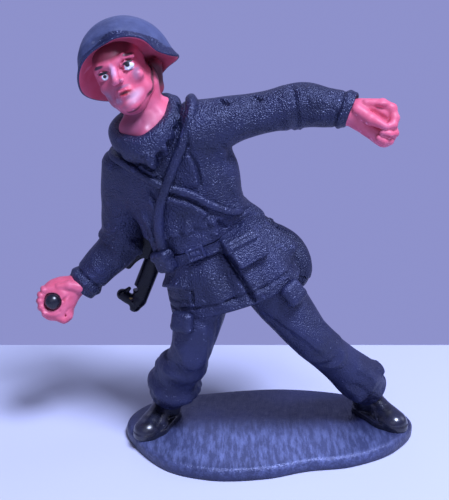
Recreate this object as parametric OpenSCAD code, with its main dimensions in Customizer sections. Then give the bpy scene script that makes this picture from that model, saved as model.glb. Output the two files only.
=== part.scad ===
// Toy soldier in a throwing pose, a painted plastic figure on an oval base.
// Millimetres. The origin is the middle of the base's underside, +Z is up and the figure faces -Y.
// Right and left are the soldier's own: the right arm, on the -X side, holds the grenade.

/* [Base] */
// Length of the base from side to side
base_len = 48; // [46:0.5:54]
// Depth of the base from front to back
base_depth = 27; // [26:0.5:32]
// Thickness of the base
base_thick = 2.2; // [1.8:0.1:3.2]
// Radius of the rounded upper rim
base_round = 0.9; // [0.5:0.1:1.2]

/* [Stance] */
// Height of the middle of the hips above the table
hip_height = 28; // [26.5:0.5:31]
// Distance of the hips to the soldier's right of the base's middle
hip_shift = 6.2; // [4.5:0.1:7.5]
// Distance between the two hip joints
hip_width = 9.4; // [8.6:0.1:10.4]
// Distance of the right ankle from the base's middle, sideways
right_foot_out = 17; // [15:0.1:18]
// Distance of the right ankle behind the base's middle
right_foot_back = 2.6; // [0:0.1:4]
// Distance of the left ankle from the base's middle, sideways
left_foot_out = 17; // [15:0.1:18]
// Distance of the left ankle behind the base's middle
left_foot_back = 4.6; // [2:0.1:5]

/* [Boots] */
// Length of a boot's sole
boot_len = 11.4; // [10:0.1:13]
// Width of a boot's sole at the ball of the foot
boot_width = 5.2; // [4.6:0.1:6]
// Height of a boot's instep above the base
boot_height = 4.8; // [4.2:0.1:5.6]
// Thickness of the sole
sole_thick = 0.9; // [0.6:0.1:1.2]
// Overhang of the welt round the boot's upper
welt = 0.35; // [0.2:0.05:0.6]
// Diameter of the peg under each boot
boot_peg_d = 2.4; // [1.6:0.1:3]
// Length of the peg under each boot
boot_peg_len = 1.2; // [0.8:0.1:1.5]

/* [Trousers] */
// Width of a trouser leg at the thigh
thigh_width = 8.2; // [7.4:0.1:9]
// Width of a trouser leg at the knee
knee_width = 6.5; // [5.8:0.1:7.4]
// Width of the bloused cuff over the boot
cuff_width = 7.6; // [7:0.1:8.6]
// How far the knees bend forward
knee_bend = 3.4; // [1:0.1:4]
// Width of a thigh pocket
thigh_pocket_width = 4.4; // [3.4:0.1:5]
// Height of a thigh pocket
thigh_pocket_height = 4.2; // [3.4:0.1:5.4]

/* [Jacket] */
// Length of the trunk from the belt to the root of the neck
trunk_len = 20.2; // [18:0.1:22]
// Lean of the trunk to the soldier's right
trunk_lean = 22.4; // [16:0.2:25]
// Turn of the shoulders to the soldier's right
trunk_turn = 12; // [0:1:20]
// Distance from the hips up to the belt
belt_rise = 8.4; // [7.6:0.1:9.4]
// Width across the chest
chest_width = 17.8; // [16.6:0.1:18.8]
// Depth of the chest
chest_depth = 10.2; // [9.2:0.1:11.2]
// Width of the waist
waist_width = 13.8; // [12.6:0.1:15]
// Depth of the waist
waist_depth = 9.2; // [8.4:0.1:10]
// Length of the skirt from the belt to the hem
skirt_len = 9.4; // [8.6:0.1:10]
// Width of the skirt at the hem
hem_width = 21.4; // [20:0.1:23]
// Depth of the skirt at the hem
hem_depth = 12.4; // [11.4:0.1:13.6]
// Radius of the cowl collar's roll
collar_roll = 2.2; // [1.8:0.1:2.5]

/* [Arms] */
// Distance of the right shoulder from the trunk's middle line
right_shoulder_out = 7; // [6.4:0.1:7.6]
// Distance of the left shoulder from the trunk's middle line
left_shoulder_out = 8.2; // [7.6:0.1:9]
// Length of an upper arm
upper_arm_len = 14; // [12.5:0.1:15.5]
// Length of the right forearm, to the wrist
right_forearm_len = 10.6; // [9.5:0.1:12]
// Length of the left forearm, to the wrist
left_forearm_len = 8; // [7:0.1:9.5]
// Width of a sleeve at the upper arm
sleeve_width = 6.7; // [6.2:0.1:7.4]
// Width of a sleeve at the cuff
sleeve_cuff_width = 5.2; // [4.8:0.1:6]
// Width of a wrist
wrist_width = 3.8; // [3.2:0.1:4.2]
// Size of a closed hand across the knuckles
hand_size = 7; // [6.2:0.1:7.8]
// Diameter of the grenade
grenade_d = 2.8; // [2.4:0.1:3.6]

/* [Head] */
// Distance from the root of the neck to the middle of the head
neck_len = 8.1; // [7.4:0.1:9]
// Width of the neck
neck_width = 5.6; // [4.8:0.1:6.4]
// Width of the head
head_width = 8.8; // [8:0.1:9.4]
// Depth of the head from face to nape
head_depth = 9.8; // [9:0.1:10.6]
// Height of the head from chin to crown
head_height = 12.2; // [11.4:0.1:13]
// Roll of the head to the soldier's right
head_roll = 25; // [10:1:28]
// Turn of the head to the soldier's right
head_turn = 9; // [0:1:25]
// Lift of the chin
head_lift = 8; // [0:1:15]

/* [Helmet] */
// Width of the helmet at the rim
helmet_width = 15.2; // [14.6:0.1:16]
// Height of the helmet from rim to crown
helmet_height = 7.3; // [6.8:0.1:8.2]
// Thickness of the rim
helmet_wall = 0.7; // [0.5:0.05:0.9]
// Depth of the open space under the rim
helmet_recess = 2.4; // [2:0.1:3.6]
// Tilt of the helmet towards the back of the head
helmet_tilt = 30; // [16:1:32]
// Roll of the helmet to the soldier's right, beyond the head's own
helmet_roll = 4; // [0:1:8]

/* [Belt and pouches] */
// Width of the belt
belt_width = 1.7; // [1.3:0.1:2.2]
// Thickness of the belt
belt_thick = 0.5; // [0.35:0.05:0.7]
// Width of the buckle plate
buckle_width = 3; // [2.4:0.1:3.6]
// Height of the buckle plate
buckle_height = 2.3; // [2:0.1:2.8]
// Width of the left ammunition pouch
left_pouch_width = 5.4; // [4.6:0.1:6]
// Height of the left ammunition pouch
left_pouch_height = 7; // [6:0.1:7.6]
// Depth of the left ammunition pouch
left_pouch_depth = 2.2; // [1.8:0.1:2.8]
// Width of the right ammunition pouch
right_pouch_width = 3.8; // [3.2:0.1:4.4]
// Height of the right ammunition pouch
right_pouch_height = 4; // [3.4:0.1:4.6]
// Depth of the right ammunition pouch
right_pouch_depth = 2.4; // [1.8:0.1:2.8]

/* [Haversack and straps] */
// Width of the haversack
haversack_width = 12; // [10:0.1:13]
// Height of the haversack
haversack_height = 9; // [8:0.1:10]
// Depth of the haversack
haversack_depth = 4.4; // [3.6:0.1:5.2]
// Diameter of the roll on top of the haversack
roll_d = 2.2; // [1.8:0.1:2.8]
// Width of the gun sling
sling_width = 1.6; // [1.2:0.1:2]
// Width of the haversack strap
strap_width = 1.3; // [1:0.1:1.7]

/* [Gun] */
// Length of the gun from butt to muzzle
gun_len = 36; // [32:0.5:38]
// Width of the gun's body
gun_width = 2.6; // [2.2:0.1:3]
// Lean of the gun to the soldier's left
gun_lean = 21.5; // [18:0.5:24]
// Diameter of the barrel
barrel_d = 1.2; // [1:0.1:1.6]

/* [Hidden] */

// Clearance round each tenon and peg in its socket
seat_gap = 0.05;
// Reach of a cut past the face that it opens
overrun = 0.4;
// Radius of a small crease's tool
crease_r = 0.32;
// Step along a curve, as a share, when its direction is measured
near_share = 0.01;
// Sides of round solids that are cut as meshes
round_sides = 24;
// Sides of the ball of a crease
crease_sides = 4;
// Sides of the ball of a fold
fold_sides = 6;
// Sides of the balls that round off a pouch or pocket
pillow_sides = 8;
// Sides of the tenons between pieces that are meshes
tenon_sides = 16;
FRONT = [0, -1, 0];
UP = [0, 0, 1];

// Functions on points and curves

function unit(v) = v / norm(v);
function mix(a, b, t) = a + (b - a) * t;
function reversed(list) = [for (i = [len(list) - 1 : -1 : 0]) list[i]];
// A direction by its turn about Z, 0 along +X, and its rise above the horizontal
function heading(turn, rise) = [cos(rise) * cos(turn), cos(rise) * sin(turn), sin(rise)];
function blend(a, b, c, d, t) =
    (2 * b + (c - a) * t + (2 * a - 5 * b + 4 * c - d) * t * t + (3 * b - a - 3 * c + d) * t * t * t) / 2;
// A point on the smooth curve through a list of points, u from 0 to 1
function along(list, u) =
    let (
        last = len(list) - 1,
        s = min(floor(u * last), last - 1),
        b = list[s],
        c = list[s + 1]
    )
    blend(s > 0 ? list[s - 1] : 2 * b - c, b, c, s + 2 <= last ? list[s + 2] : 2 * c - b, u * last - s);
// A point on the smooth closed curve through a list of points
function around(list, u) =
    let (
        count = len(list),
        s = floor(u * count) % count
    )
    blend(list[(s + count - 1) % count], list[s], list[(s + 1) % count], list[(s + 2) % count],
        u * count - floor(u * count));
function xyz(station) = [station[0], station[1], station[2]];

// A ring is [centre, vector to its wearer's left side, vector to its front]

// Rings square to the curve through stations of [x, y, z, half width, half depth]
function limb_rings(stations, count, front) =
    [for (k = [0 : count - 1])
        let (
            u = k / (count - 1),
            station = along(stations, u),
            way = unit(xyz(along(stations, min(u + near_share, 1)) - along(stations, max(u - near_share, 0)))),
            side = unit(cross(way, front)),
            face = cross(side, way)
        )
        [xyz(station), station[3] * side, station[4] * face]];
// Rings of the trunk from stations of [x, y, z, half width, half depth, lean, dip, turn]
function trunk_rings(stations, count) =
    [for (k = [0 : count - 1])
        let (
            s = along(stations, k / (count - 1)),
            across = [cos(s[5]), 0, sin(s[5])],
            front = [0, -cos(s[6]), -sin(s[6])]
        )
        [
            xyz(s),
            s[3] * (cos(s[7]) * across + sin(s[7]) * front),
            s[4] * (cos(s[7]) * front - sin(s[7]) * across)
        ]];
function grown(v, by) = v * (1 + by / norm(v));
function grown_rings(rings, by) = [for (r = rings) [r[0], grown(r[1], by), grown(r[2], by)]];
function ring_way(ring) = unit(cross(ring[2], ring[1]));
function dome_rings(ring, rise, steps) =
    [for (k = [1 : steps])
        let (a = 84 * k / steps)
        [ring[0] + rise * sin(a) * ring_way(ring), ring[1] * cos(a), ring[2] * cos(a)]];
// Rings with a dome on the first and the last one
function domed(rings, first_rise, last_rise, steps = 2) =
    concat(
        first_rise > 0 ? reversed(dome_rings(rings[0], -first_rise, steps)) : [],
        rings,
        last_rise > 0 ? dome_rings(rings[len(rings) - 1], last_rise, steps) : []
    );
function bulged(c, power) = sign(c) * pow(abs(c), 2 / power);
function ring_point(ring, angle, power = 2) =
    ring[0] + bulged(cos(angle), power) * ring[1] + bulged(sin(angle), power) * ring[2];
// A point on the skin of lofted rings: u along them, the angle round them, 90 at the front
function skin(rings, u, angle, power = 2) =
    let (
        last = len(rings) - 1,
        s = min(floor(u * last), last - 1)
    )
    mix(ring_point(rings[s], angle, power), ring_point(rings[s + 1], angle, power), u * last - s);

// Solids from rings and from chains of balls

module shell_of(points, sides, turns) {
    polyhedron(
        points,
        concat(
            [for (k = [0 : turns - 2]) for (i = [0 : sides - 1])
                [k * sides + i, k * sides + (i + 1) % sides, (k + 1) * sides + (i + 1) % sides]],
            [for (k = [0 : turns - 2]) for (i = [0 : sides - 1])
                [k * sides + i, (k + 1) * sides + (i + 1) % sides, (k + 1) * sides + i]],
            [[for (i = [sides - 1 : -1 : 0]) i]],
            [[for (i = [0 : sides - 1]) (turns - 1) * sides + i]]
        )
    );
}
module loft(rings, sides, power = 2) {
    shell_of(
        [for (r = rings) for (i = [0 : sides - 1]) ring_point(r, 360 * i / sides, power)],
        sides,
        len(rings)
    );
}
module closed_loft(rings, sides) {
    turns = len(rings);
    polyhedron(
        [for (r = rings) for (i = [0 : sides - 1]) ring_point(r, 360 * i / sides)],
        concat(
            [for (k = [0 : turns - 1]) for (i = [0 : sides - 1])
                [k * sides + i, k * sides + (i + 1) % sides, ((k + 1) % turns) * sides + (i + 1) % sides]],
            [for (k = [0 : turns - 1]) for (i = [0 : sides - 1])
                [k * sides + i, ((k + 1) % turns) * sides + (i + 1) % sides, ((k + 1) % turns) * sides + i]]
        )
    );
}
module ball(at, r, sides = fold_sides) {
    translate(at)
        sphere(r = r, $fn = sides);
}
module rod(from, to, r_from, r_to, sides = fold_sides) {
    hull() {
        ball(from, r_from, sides);
        ball(to, r_to, sides);
    }
}
module chain(points, r, sides = fold_sides) {
    for (k = [0 : len(points) - 2])
        rod(points[k], points[k + 1], r, r, sides);
}
// Folds or creases on a skin, each row [u, angle, u, angle, radius as a share of the tool's]
module folds(rings, rows, r, power = 2) {
    lifted = grown_rings(rings, r * 0.17);
    for (row = rows)
        let (cuts = abs(row[3] - row[1]) > 45 ? 2 : 1)
            chain(
                [for (k = [0 : cuts])
                    skin(lifted, mix(row[0], row[2], k / cuts), mix(row[1], row[3], k / cuts), power)],
                r * row[4],
                crease_sides
            );
}
// A round peg from a point along a direction
module peg(from, way, d, length, sides = tenon_sides) {
    translate(from)
        rotate([0, acos(way[2]), atan2(way[1], way[0])])
            cylinder(d = d, h = length, $fn = sides);
}
// Puts its children at a point, with their X and Z along two given directions
module framed(at, x_way, z_way) {
    y_way = cross(z_way, x_way);
    multmatrix([
        [x_way[0], y_way[0], z_way[0], at[0]],
        [x_way[1], y_way[1], z_way[1], at[1]],
        [x_way[2], y_way[2], z_way[2], at[2]],
        [0, 0, 0, 1]
    ])
        children();
}
// A cushion-like box, X and Z centred, that stands out from Y = 0 towards -Y
module pillow(width, height, depth, r) {
    hull()
        for (x = [r - width / 2, width / 2 - r], z = [r - height / 2, height / 2 - r])
            for (y = [depth / 2, r - depth])
                translate([x, y, z])
                    sphere(r = r, $fn = pillow_sides);
}

// Places along the body

base_top = base_thick;
hips = [-hip_shift, 0, hip_height];
hip_tilt = 10;
hip_across = [cos(hip_tilt), 0, sin(hip_tilt)];
right_hip = hips - hip_across * hip_width / 2;
left_hip = hips + hip_across * hip_width / 2;
right_ankle = [-right_foot_out, right_foot_back, base_top + boot_height];
left_ankle = [left_foot_out, left_foot_back, base_top + boot_height];
knee_share = 0.45;
right_knee = mix(right_hip, right_ankle, knee_share) + knee_bend * [0.25, -1, 0];
left_knee = mix(left_hip, left_ankle, knee_share) + knee_bend * [-0.15, -1, 0];

belt_lean = 35;
waist = hips + belt_rise * [-sin(belt_lean), 0, cos(belt_lean)];
trunk_up = [-sin(trunk_lean), 0, cos(trunk_lean)];
trunk_across = [cos(trunk_lean), 0, sin(trunk_lean)];
skirt_lean = 33;
hem = waist + skirt_len * [sin(skirt_lean), 0, -cos(skirt_lean)];
hem_lean = 18;
hem_dip = 9;
neck_root = waist + trunk_len * trunk_up;

// Stations of the trunk from hem to neck: rise and width as shares, then lean, dip and turn. The two at the
// shoulders span the arms' joints, and the one below them has the chest's own width
shoulder_span = right_shoulder_out + left_shoulder_out;
shoulder_offset = 1.2 * (left_shoulder_out - right_shoulder_out) / 2;
blouse_full_share = 1.1;
shoulder_rise_share = 0.8;
slope_rise_share = 0.92;
function trunk_station(at, width, depth, lean, dip, turn) =
    concat(at, [width / 2, depth / 2, lean, dip, turn]);
trunk_stations = [
    trunk_station(hem, hem_width, hem_depth, hem_lean, hem_dip, 0),
    trunk_station(mix(hem, waist, 0.5), mix(hem_width, waist_width, 0.5), mix(hem_depth, waist_depth, 0.42),
        mix(hem_lean, trunk_lean, 0.5), hem_dip / 2, 0),
    trunk_station(waist, waist_width, waist_depth, trunk_lean, 0, 0),
    trunk_station(waist + 0.18 * trunk_len * trunk_up, waist_width * blouse_full_share,
        waist_depth * blouse_full_share, trunk_lean, 0, trunk_turn * 0.2),
    trunk_station(waist + 0.5 * trunk_len * trunk_up + 0.035 * chest_width * trunk_across, chest_width,
        chest_depth, trunk_lean, 0, trunk_turn * 0.6),
    trunk_station(waist + shoulder_rise_share * trunk_len * trunk_up + shoulder_offset * trunk_across,
        shoulder_span * 1.136, chest_depth * 0.88, trunk_lean, 0, trunk_turn),
    trunk_station(waist + slope_rise_share * trunk_len * trunk_up + shoulder_offset * trunk_across,
        shoulder_span * 0.937, chest_depth * 0.76, trunk_lean, 0, trunk_turn),
    trunk_station(neck_root, neck_width * 1.4, neck_width * 1.15, trunk_lean, 0, trunk_turn)
];
trunk_count = 15;
trunk_sides = 18;
trunk_power = 2.3;
trunk = trunk_rings(trunk_stations, trunk_count);
// Place of the belt among the trunk's stations
waist_share = 2 / 7;
function trunk_skin(u, angle, lift = 0) = skin(grown_rings(trunk, lift), u, angle, trunk_power);

// Arms

shoulder_rise = shoulder_rise_share * trunk_len;
right_shoulder_share = 0.97;
left_shoulder_share = 1.07;
right_shoulder = waist + shoulder_rise * right_shoulder_share * trunk_up - right_shoulder_out * trunk_across
    + right_shoulder_out * sin(trunk_turn) * -FRONT;
left_shoulder = waist + shoulder_rise * left_shoulder_share * trunk_up + left_shoulder_out * trunk_across
    + left_shoulder_out * sin(trunk_turn) * FRONT;
right_upper_way = heading(104, -76);
right_fore_way = heading(-168, -47);
right_hand_way = heading(-160, -12);
left_upper_way = heading(2, 11);
left_fore_way = heading(-17, -2);
left_hand_way = heading(-20, -24);
right_elbow = right_shoulder + upper_arm_len * right_upper_way;
left_elbow = left_shoulder + upper_arm_len * left_upper_way;
right_wrist = right_elbow + right_forearm_len * right_fore_way;
left_wrist = left_elbow + left_forearm_len * left_fore_way;

// Head and helmet

head_lean = 23;
head_forward = 11;
head_middle = neck_root
    + neck_len * [-sin(head_lean) * cos(head_forward), -sin(head_forward), cos(head_lean) * cos(head_forward)];
module at_head() {
    translate(head_middle)
        rotate([-head_lift, -head_roll, -head_turn])
            children();
}
module at_helmet() {
    at_head()
        rotate([-helmet_tilt, -helmet_roll, 0])
            translate([helmet_width * 0.03, 0, helmet_seat])
                children();
}
helmet_seat = head_height * 0.11;

// Base

outline_shares = [
    [0.5, 0.09], [0.42, -0.18], [0.27, -0.34], [0.115, -0.393], [-0.03, -0.474], [-0.21, -0.485],
    [-0.375, -0.345], [-0.5, 0.04], [-0.41, 0.335], [-0.17, 0.46], [0.1, 0.5], [0.375, 0.37]
];
outline_steps = 48;
function outline_point(u) =
    let (p = around(outline_shares, u - floor(u)))
    [p[0] * base_len, p[1] * base_depth];
function outline(inset) =
    [for (i = [0 : outline_steps - 1])
        let (
            u = i / outline_steps,
            way = unit(outline_point(u + near_share) - outline_point(u - near_share))
        )
        outline_point(u) + inset * [way[1], -way[0]]];
rim_steps = 4;
module base() {
    color("#26262e")
        difference() {
            shell_of(
                concat(
                    [for (p = outline(0)) [p[0], p[1], 0]],
                    [for (k = [0 : rim_steps]) let (a = 90 * k / rim_steps)
                        for (p = outline(base_round * (1 - cos(a))))
                            [p[0], p[1], base_thick - base_round + base_round * sin(a)]]
                ),
                outline_steps,
                rim_steps + 2
            );
            for (boot = [RIGHT_BOOT, LEFT_BOOT])
                at_boot(boot)
                    translate([0, 0, -boot_peg_len - seat_gap])
                        cylinder(d = boot_peg_d + 2 * seat_gap, h = boot_peg_len + overrun, $fn = round_sides);
        }
}

// Boots: each is drawn with its ankle over the origin and its toe along +X

RIGHT_BOOT = [right_ankle, -118];
LEFT_BOOT = [left_ankle, -52];
heel_share = 0.27;
module at_boot(boot) {
    translate([boot[0][0], boot[0][1], base_top])
        rotate([0, 0, boot[1]])
            children();
}
// Sections of the upper: place along the sole, half width and height as shares
upper_shares = [
    [0.02, 0.5, 0.62], [0.1, 0.76, 0.95], [0.22, 0.84, 1], [0.38, 0.8, 0.9], [0.52, 0.84, 0.66],
    [0.68, 0.92, 0.55], [0.82, 0.88, 0.47], [0.92, 0.7, 0.36], [0.98, 0.36, 0.25]
];
upper_sides = 12;
module boot() {
    heel = -heel_share * boot_len;
    ball_r = boot_width / 2;
    heel_r = ball_r * 0.8;
    toe_r = ball_r * 0.82;
    linear_extrude(height = sole_thick)
        hull() {
            translate([heel + heel_r, 0])
                circle(r = heel_r, $fn = 4 * fold_sides);
            translate([heel + boot_len * 0.66, 0])
                circle(r = ball_r, $fn = 4 * fold_sides);
            translate([heel + boot_len - toe_r, 0])
                circle(r = toe_r, $fn = 4 * fold_sides);
        }
    translate([0, 0, sole_thick])
        shell_of(
            [for (s = upper_shares) for (i = [0 : upper_sides - 1])
                let (a = 180 * i / (upper_sides - 1))
                [
                    heel + welt + s[0] * (boot_len - 2 * welt),
                    -(ball_r - welt) * s[1] * bulged(cos(a), 2.4),
                    (boot_height - sole_thick) * s[2] * bulged(sin(a), 2.2)
                ]],
            upper_sides,
            len(upper_shares)
        );
    translate([0, 0, -boot_peg_len])
        cylinder(d = boot_peg_d, h = boot_peg_len + sole_thick, $fn = round_sides);
}
module right_boot() {
    color("#15151b")
        at_boot(RIGHT_BOOT)
            boot();
}
module left_boot() {
    color("#15151b")
        at_boot(LEFT_BOOT)
            boot();
}

// Trousers

hip_peg_d = 3;
hip_peg_len = 3.4;
function leg_station(at, width) = concat(at, [width / 2, width / 2]);
function leg_stations(hip, knee, ankle) = [
    leg_station(hip, thigh_width * 1.06),
    leg_station(mix(hip, knee, 0.45), thigh_width),
    leg_station(knee, knee_width * 1.03),
    leg_station(mix(knee, ankle, 0.42), knee_width),
    leg_station(mix(knee, ankle, 0.8), cuff_width),
    leg_station(mix(knee, ankle, 1.02), cuff_width * 0.84)
];
leg_count = 10;
leg_sides = 11;
right_leg_rings = limb_rings(leg_stations(right_hip, right_knee, right_ankle), leg_count, FRONT);
left_leg_rings = limb_rings(leg_stations(left_hip, left_knee, left_ankle), leg_count, FRONT);
module leg_form(rings) {
    loft(domed(rings, cuff_width * 0.1, cuff_width * 0.08), leg_sides);
}
// The legs run from hip to ankle, so their pegs point back up into the skirt
module hip_peg(hip, knee, slack) {
    way = unit(hip - knee);
    peg(hip - way * skirt_len / 2, way, hip_peg_d + 2 * slack, skirt_len / 2 + hip_peg_len + slack);
}
right_leg_creases_shares = [
    [0.44, 60, 0.5, 140, 1], [0.52, 100, 0.56, 30, 0.9], [0.36, 20, 0.42, 80, 0.8], [0.8, 30, 0.78, 120, 1],
    [0.84, 150, 0.8, 230, 1], [0.3, 110, 0.44, 150, 0.8], [0.5, 240, 0.54, 300, 1], [0.6, 330, 0.7, 350, 0.8]
];
left_leg_creases_shares = [
    [0.44, 40, 0.5, 120, 1], [0.52, 150, 0.56, 70, 0.9], [0.34, 100, 0.5, 130, 0.8], [0.8, 60, 0.78, 150, 1],
    [0.84, 0, 0.8, -70, 1], [0.62, 100, 0.76, 110, 0.9], [0.5, 240, 0.54, 300, 1], [0.66, 60, 0.78, 50, 0.8]
];
module right_trouser_leg() {
    color("#22222b")
        union() {
            difference() {
                leg_form(right_leg_rings);
                folds(right_leg_rings, right_leg_creases_shares, crease_r);
                jacket_form();
                at_boot(RIGHT_BOOT)
                    boot();
            }
            hip_peg(right_hip, right_knee, 0);
        }
}
module left_trouser_leg() {
    color("#22222b")
        union() {
            difference() {
                leg_form(left_leg_rings);
                folds(left_leg_rings, left_leg_creases_shares, crease_r);
                jacket_form();
                leg_form(right_leg_rings);
                at_boot(LEFT_BOOT)
                    boot();
            }
            hip_peg(left_hip, left_knee, 0);
        }
}
pocket_stand = 0.7;
module thigh_pocket(rings, u, angle) {
    at = skin(rings, u, angle);
    out = unit(at - skin(grown_rings(rings, -crease_r), u, angle));
    down = unit(skin(rings, u + near_share, angle) - at);
    side = unit(cross(out, down));
    up = cross(side, out);
    framed(at, side, up) {
        pillow(thigh_pocket_width, thigh_pocket_height, pocket_stand, pocket_stand * 0.8);
        translate([0, -pocket_stand * 0.3, thigh_pocket_height * 0.3])
            pillow(thigh_pocket_width * 1.06, thigh_pocket_height * 0.42, pocket_stand, pocket_stand * 0.6);
    }
}
module right_thigh_pocket() {
    color("#1f1f28")
        difference() {
            thigh_pocket(right_leg_rings, 0.24, 45);
            leg_form(right_leg_rings);
            jacket_form();
        }
}
module left_thigh_pocket() {
    color("#1f1f28")
        difference() {
            thigh_pocket(left_leg_rings, 0.17, 146);
            leg_form(left_leg_rings);
            jacket_form();
        }
}

// Jacket

neck_peg_len = 2.2;
shoulder_peg_d = 3.2;
shoulder_peg_len = 1.8;
module neck_peg(slack) {
    peg(neck_root + neck_len / 2 * trunk_up, -trunk_up, neck_width * 0.8 + 2 * slack,
        neck_len / 2 + neck_peg_len + slack);
}
module shoulder_peg(shoulder, way, slack) {
    peg(shoulder, way, shoulder_peg_d + 2 * slack, shoulder_peg_len + sleeve_width * 0.35 + slack);
}
right_seat_way = unit(0.9 * trunk_across + 0.3 * trunk_up);
left_seat_way = unit(-0.97 * trunk_across - 0.1 * trunk_up);
jacket_creases_shares = [
    [0.67, 60, 0.56, 67, 1], [0.61, 109, 0.55, 110, 1.1], [0.55, 110, 0.6, 98, 1], [0.56, 92, 0.47, 66, 0.9],
    [0.25, 70, 0.01, 76, 1.3], [0.14, 166, 0.15, 124, 1], [0.14, 120, 0.06, 117, 0.9],
    [0.36, 150, 0.5, 168, 0.9], [0.34, 20, 0.44, 5, 0.9], [0.36, 250, 0.5, 262, 0.9],
    [0.36, 290, 0.5, 282, 0.9], [0.62, 230, 0.7, 310, 0.9]
];
hem_band = 0.24;
module jacket_form() {
    loft(trunk, trunk_sides, trunk_power);
    loft(grown_rings([trunk[0], mix(trunk[0], trunk[1], 0.8)], hem_band), trunk_sides, trunk_power);
}
module jacket() {
    color("#23232c")
        difference() {
            jacket_form();
            folds(trunk, jacket_creases_shares, crease_r, trunk_power);
            neck_peg(seat_gap);
            shoulder_peg(right_shoulder, right_seat_way, seat_gap);
            shoulder_peg(left_shoulder, left_seat_way, seat_gap);
            hip_peg(right_hip, right_knee, seat_gap);
            hip_peg(left_hip, left_knee, seat_gap);
        }
}

// Collar: a roll round the neck. Rows are [sideways, up, front, roll] as shares of neck_width and collar_roll
collar_shares = [
    [0.7, 0.1, 0.14, 0.8], [0.48, -0.2, 0.68, 0.85], [-0.15, -0.44, 0.86, 0.98], [-0.66, -0.28, 0.56, 1],
    [-0.82, 0, 0, 0.95], [-0.58, 0.14, -0.5, 0.85], [0, 0.22, -0.68, 0.8], [0.48, 0.22, -0.42, 0.8]
];
collar_count = 14;
collar_sides = 7;
collar_rings =
    [for (k = [0 : collar_count - 1])
        let (
            s = around(collar_shares, k / collar_count),
            out = unit(s[0] * trunk_across + s[2] * FRONT)
        )
        [
            neck_root + neck_width * (s[0] * trunk_across + s[1] * trunk_up + s[2] * FRONT),
            collar_roll * s[3] * 1.15 * unit(trunk_up + 0.35 * out),
            collar_roll * s[3] * 0.85 * unit(out - 0.35 * trunk_up)
        ]];
function collar_skin(u, angle) =
    let (at = u * collar_count)
    mix(ring_point(collar_rings[floor(at) % collar_count], angle),
        ring_point(collar_rings[(floor(at) + 1) % collar_count], angle), at - floor(at));
// Gathers in the roll: place round the neck, then where the gather starts and ends round the roll
collar_gathers_shares = [
    [0.02, 30, 90], [0.13, 60, 150], [0.2, 100, 170], [0.25, 80, 130], [0.33, 90, 150], [0.44, 60, 120],
    [0.62, 30, 100], [0.74, 20, 110], [0.88, 30, 100]
];
module collar() {
    color("#25252f")
        difference() {
            closed_loft(collar_rings, collar_sides);
            strap_form();
            sling_form();
            for (g = collar_gathers_shares)
                chain([for (t = [0, 1]) collar_skin(g[0], mix(g[1], g[2], t))], crease_r, crease_sides);
            loft(trunk, trunk_sides, trunk_power);
            neck_form();
        }
}

// Sleeves

wrist_peg_len = 2.6;
sleeve_count = 10;
sleeve_sides = 12;
function sleeve_station(at, width) = concat(at, [width / 2, width / 2]);
function sleeve_stations(shoulder, elbow, wrist, start, start_width) = [
    sleeve_station(shoulder - start * unit(elbow - shoulder), start_width),
    sleeve_station(mix(shoulder, elbow, 0.2), mix(start_width, sleeve_width, 0.5)),
    sleeve_station(mix(shoulder, elbow, 0.6), sleeve_width * 0.92),
    sleeve_station(elbow, sleeve_width),
    sleeve_station(mix(elbow, wrist, 0.5), mix(sleeve_width, sleeve_cuff_width, 0.6)),
    sleeve_station(wrist, sleeve_cuff_width)
];
right_sleeve_rings = limb_rings(
    sleeve_stations(right_shoulder, right_elbow, right_wrist, sleeve_width * 0.12, sleeve_width * 0.84),
    sleeve_count, FRONT);
left_sleeve_rings = limb_rings(
    sleeve_stations(left_shoulder, left_elbow, left_wrist, sleeve_width * 0.4, sleeve_width * 1.1),
    sleeve_count, FRONT);
right_sleeve_creases_shares = [
    [0.5, 20, 0.44, 110, 1], [0.56, 100, 0.62, 180, 1.1], [0.62, 170, 0.54, 130, 0.9],
    [0.66, 60, 0.74, 130, 0.9], [0.36, 60, 0.3, 140, 0.8], [0.8, 10, 0.84, 100, 0.8],
    [0.94, 0, 0.94, 80, 0.7], [0.94, 80, 0.94, 160, 0.7], [0.6, 230, 0.56, 300, 1]
];
left_sleeve_creases_shares = [
    [0.2, 160, 0.24, 100, 1], [0.36, 172, 0.32, 140, 1.3], [0.5, 180, 0.56, 90, 1], [0.56, 90, 0.52, 10, 0.9],
    [0.62, 170, 0.6, 110, 1], [0.7, 20, 0.78, 80, 0.9], [0.93, 180, 0.93, 90, 0.7], [0.93, 90, 0.93, 0, 0.7],
    [0.5, 230, 0.54, 300, 1]
];
module sleeve_form(rings) {
    loft(domed(rings, sleeve_width * 0.3, 0), sleeve_sides);
}
module wrist_peg(wrist, fore_way, slack) {
    peg(wrist + wrist_peg_len * fore_way, -fore_way, wrist_width * 0.86 + 2 * slack,
        2 * wrist_peg_len + slack);
}
module right_sleeve() {
    color("#23232c")
        union() {
            difference() {
                sleeve_form(right_sleeve_rings);
                folds(right_sleeve_rings, right_sleeve_creases_shares, crease_r);
                jacket_form();
                closed_loft(collar_rings, collar_sides);
                strap_form();
                wrist_peg(right_wrist, right_fore_way, seat_gap);
            }
            shoulder_peg(right_shoulder, right_seat_way, 0);
        }
}
module left_sleeve() {
    color("#23232c")
        union() {
            difference() {
                sleeve_form(left_sleeve_rings);
                folds(left_sleeve_rings, left_sleeve_creases_shares, crease_r);
                jacket_form();
                closed_loft(collar_rings, collar_sides);
                sling_form();
                wrist_peg(left_wrist, left_fore_way, seat_gap);
            }
            shoulder_peg(left_shoulder, left_seat_way, 0);
        }
}

// Hands: each is drawn from its wrist out along +X, with +Z up. Places are shares of the hand's size

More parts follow.
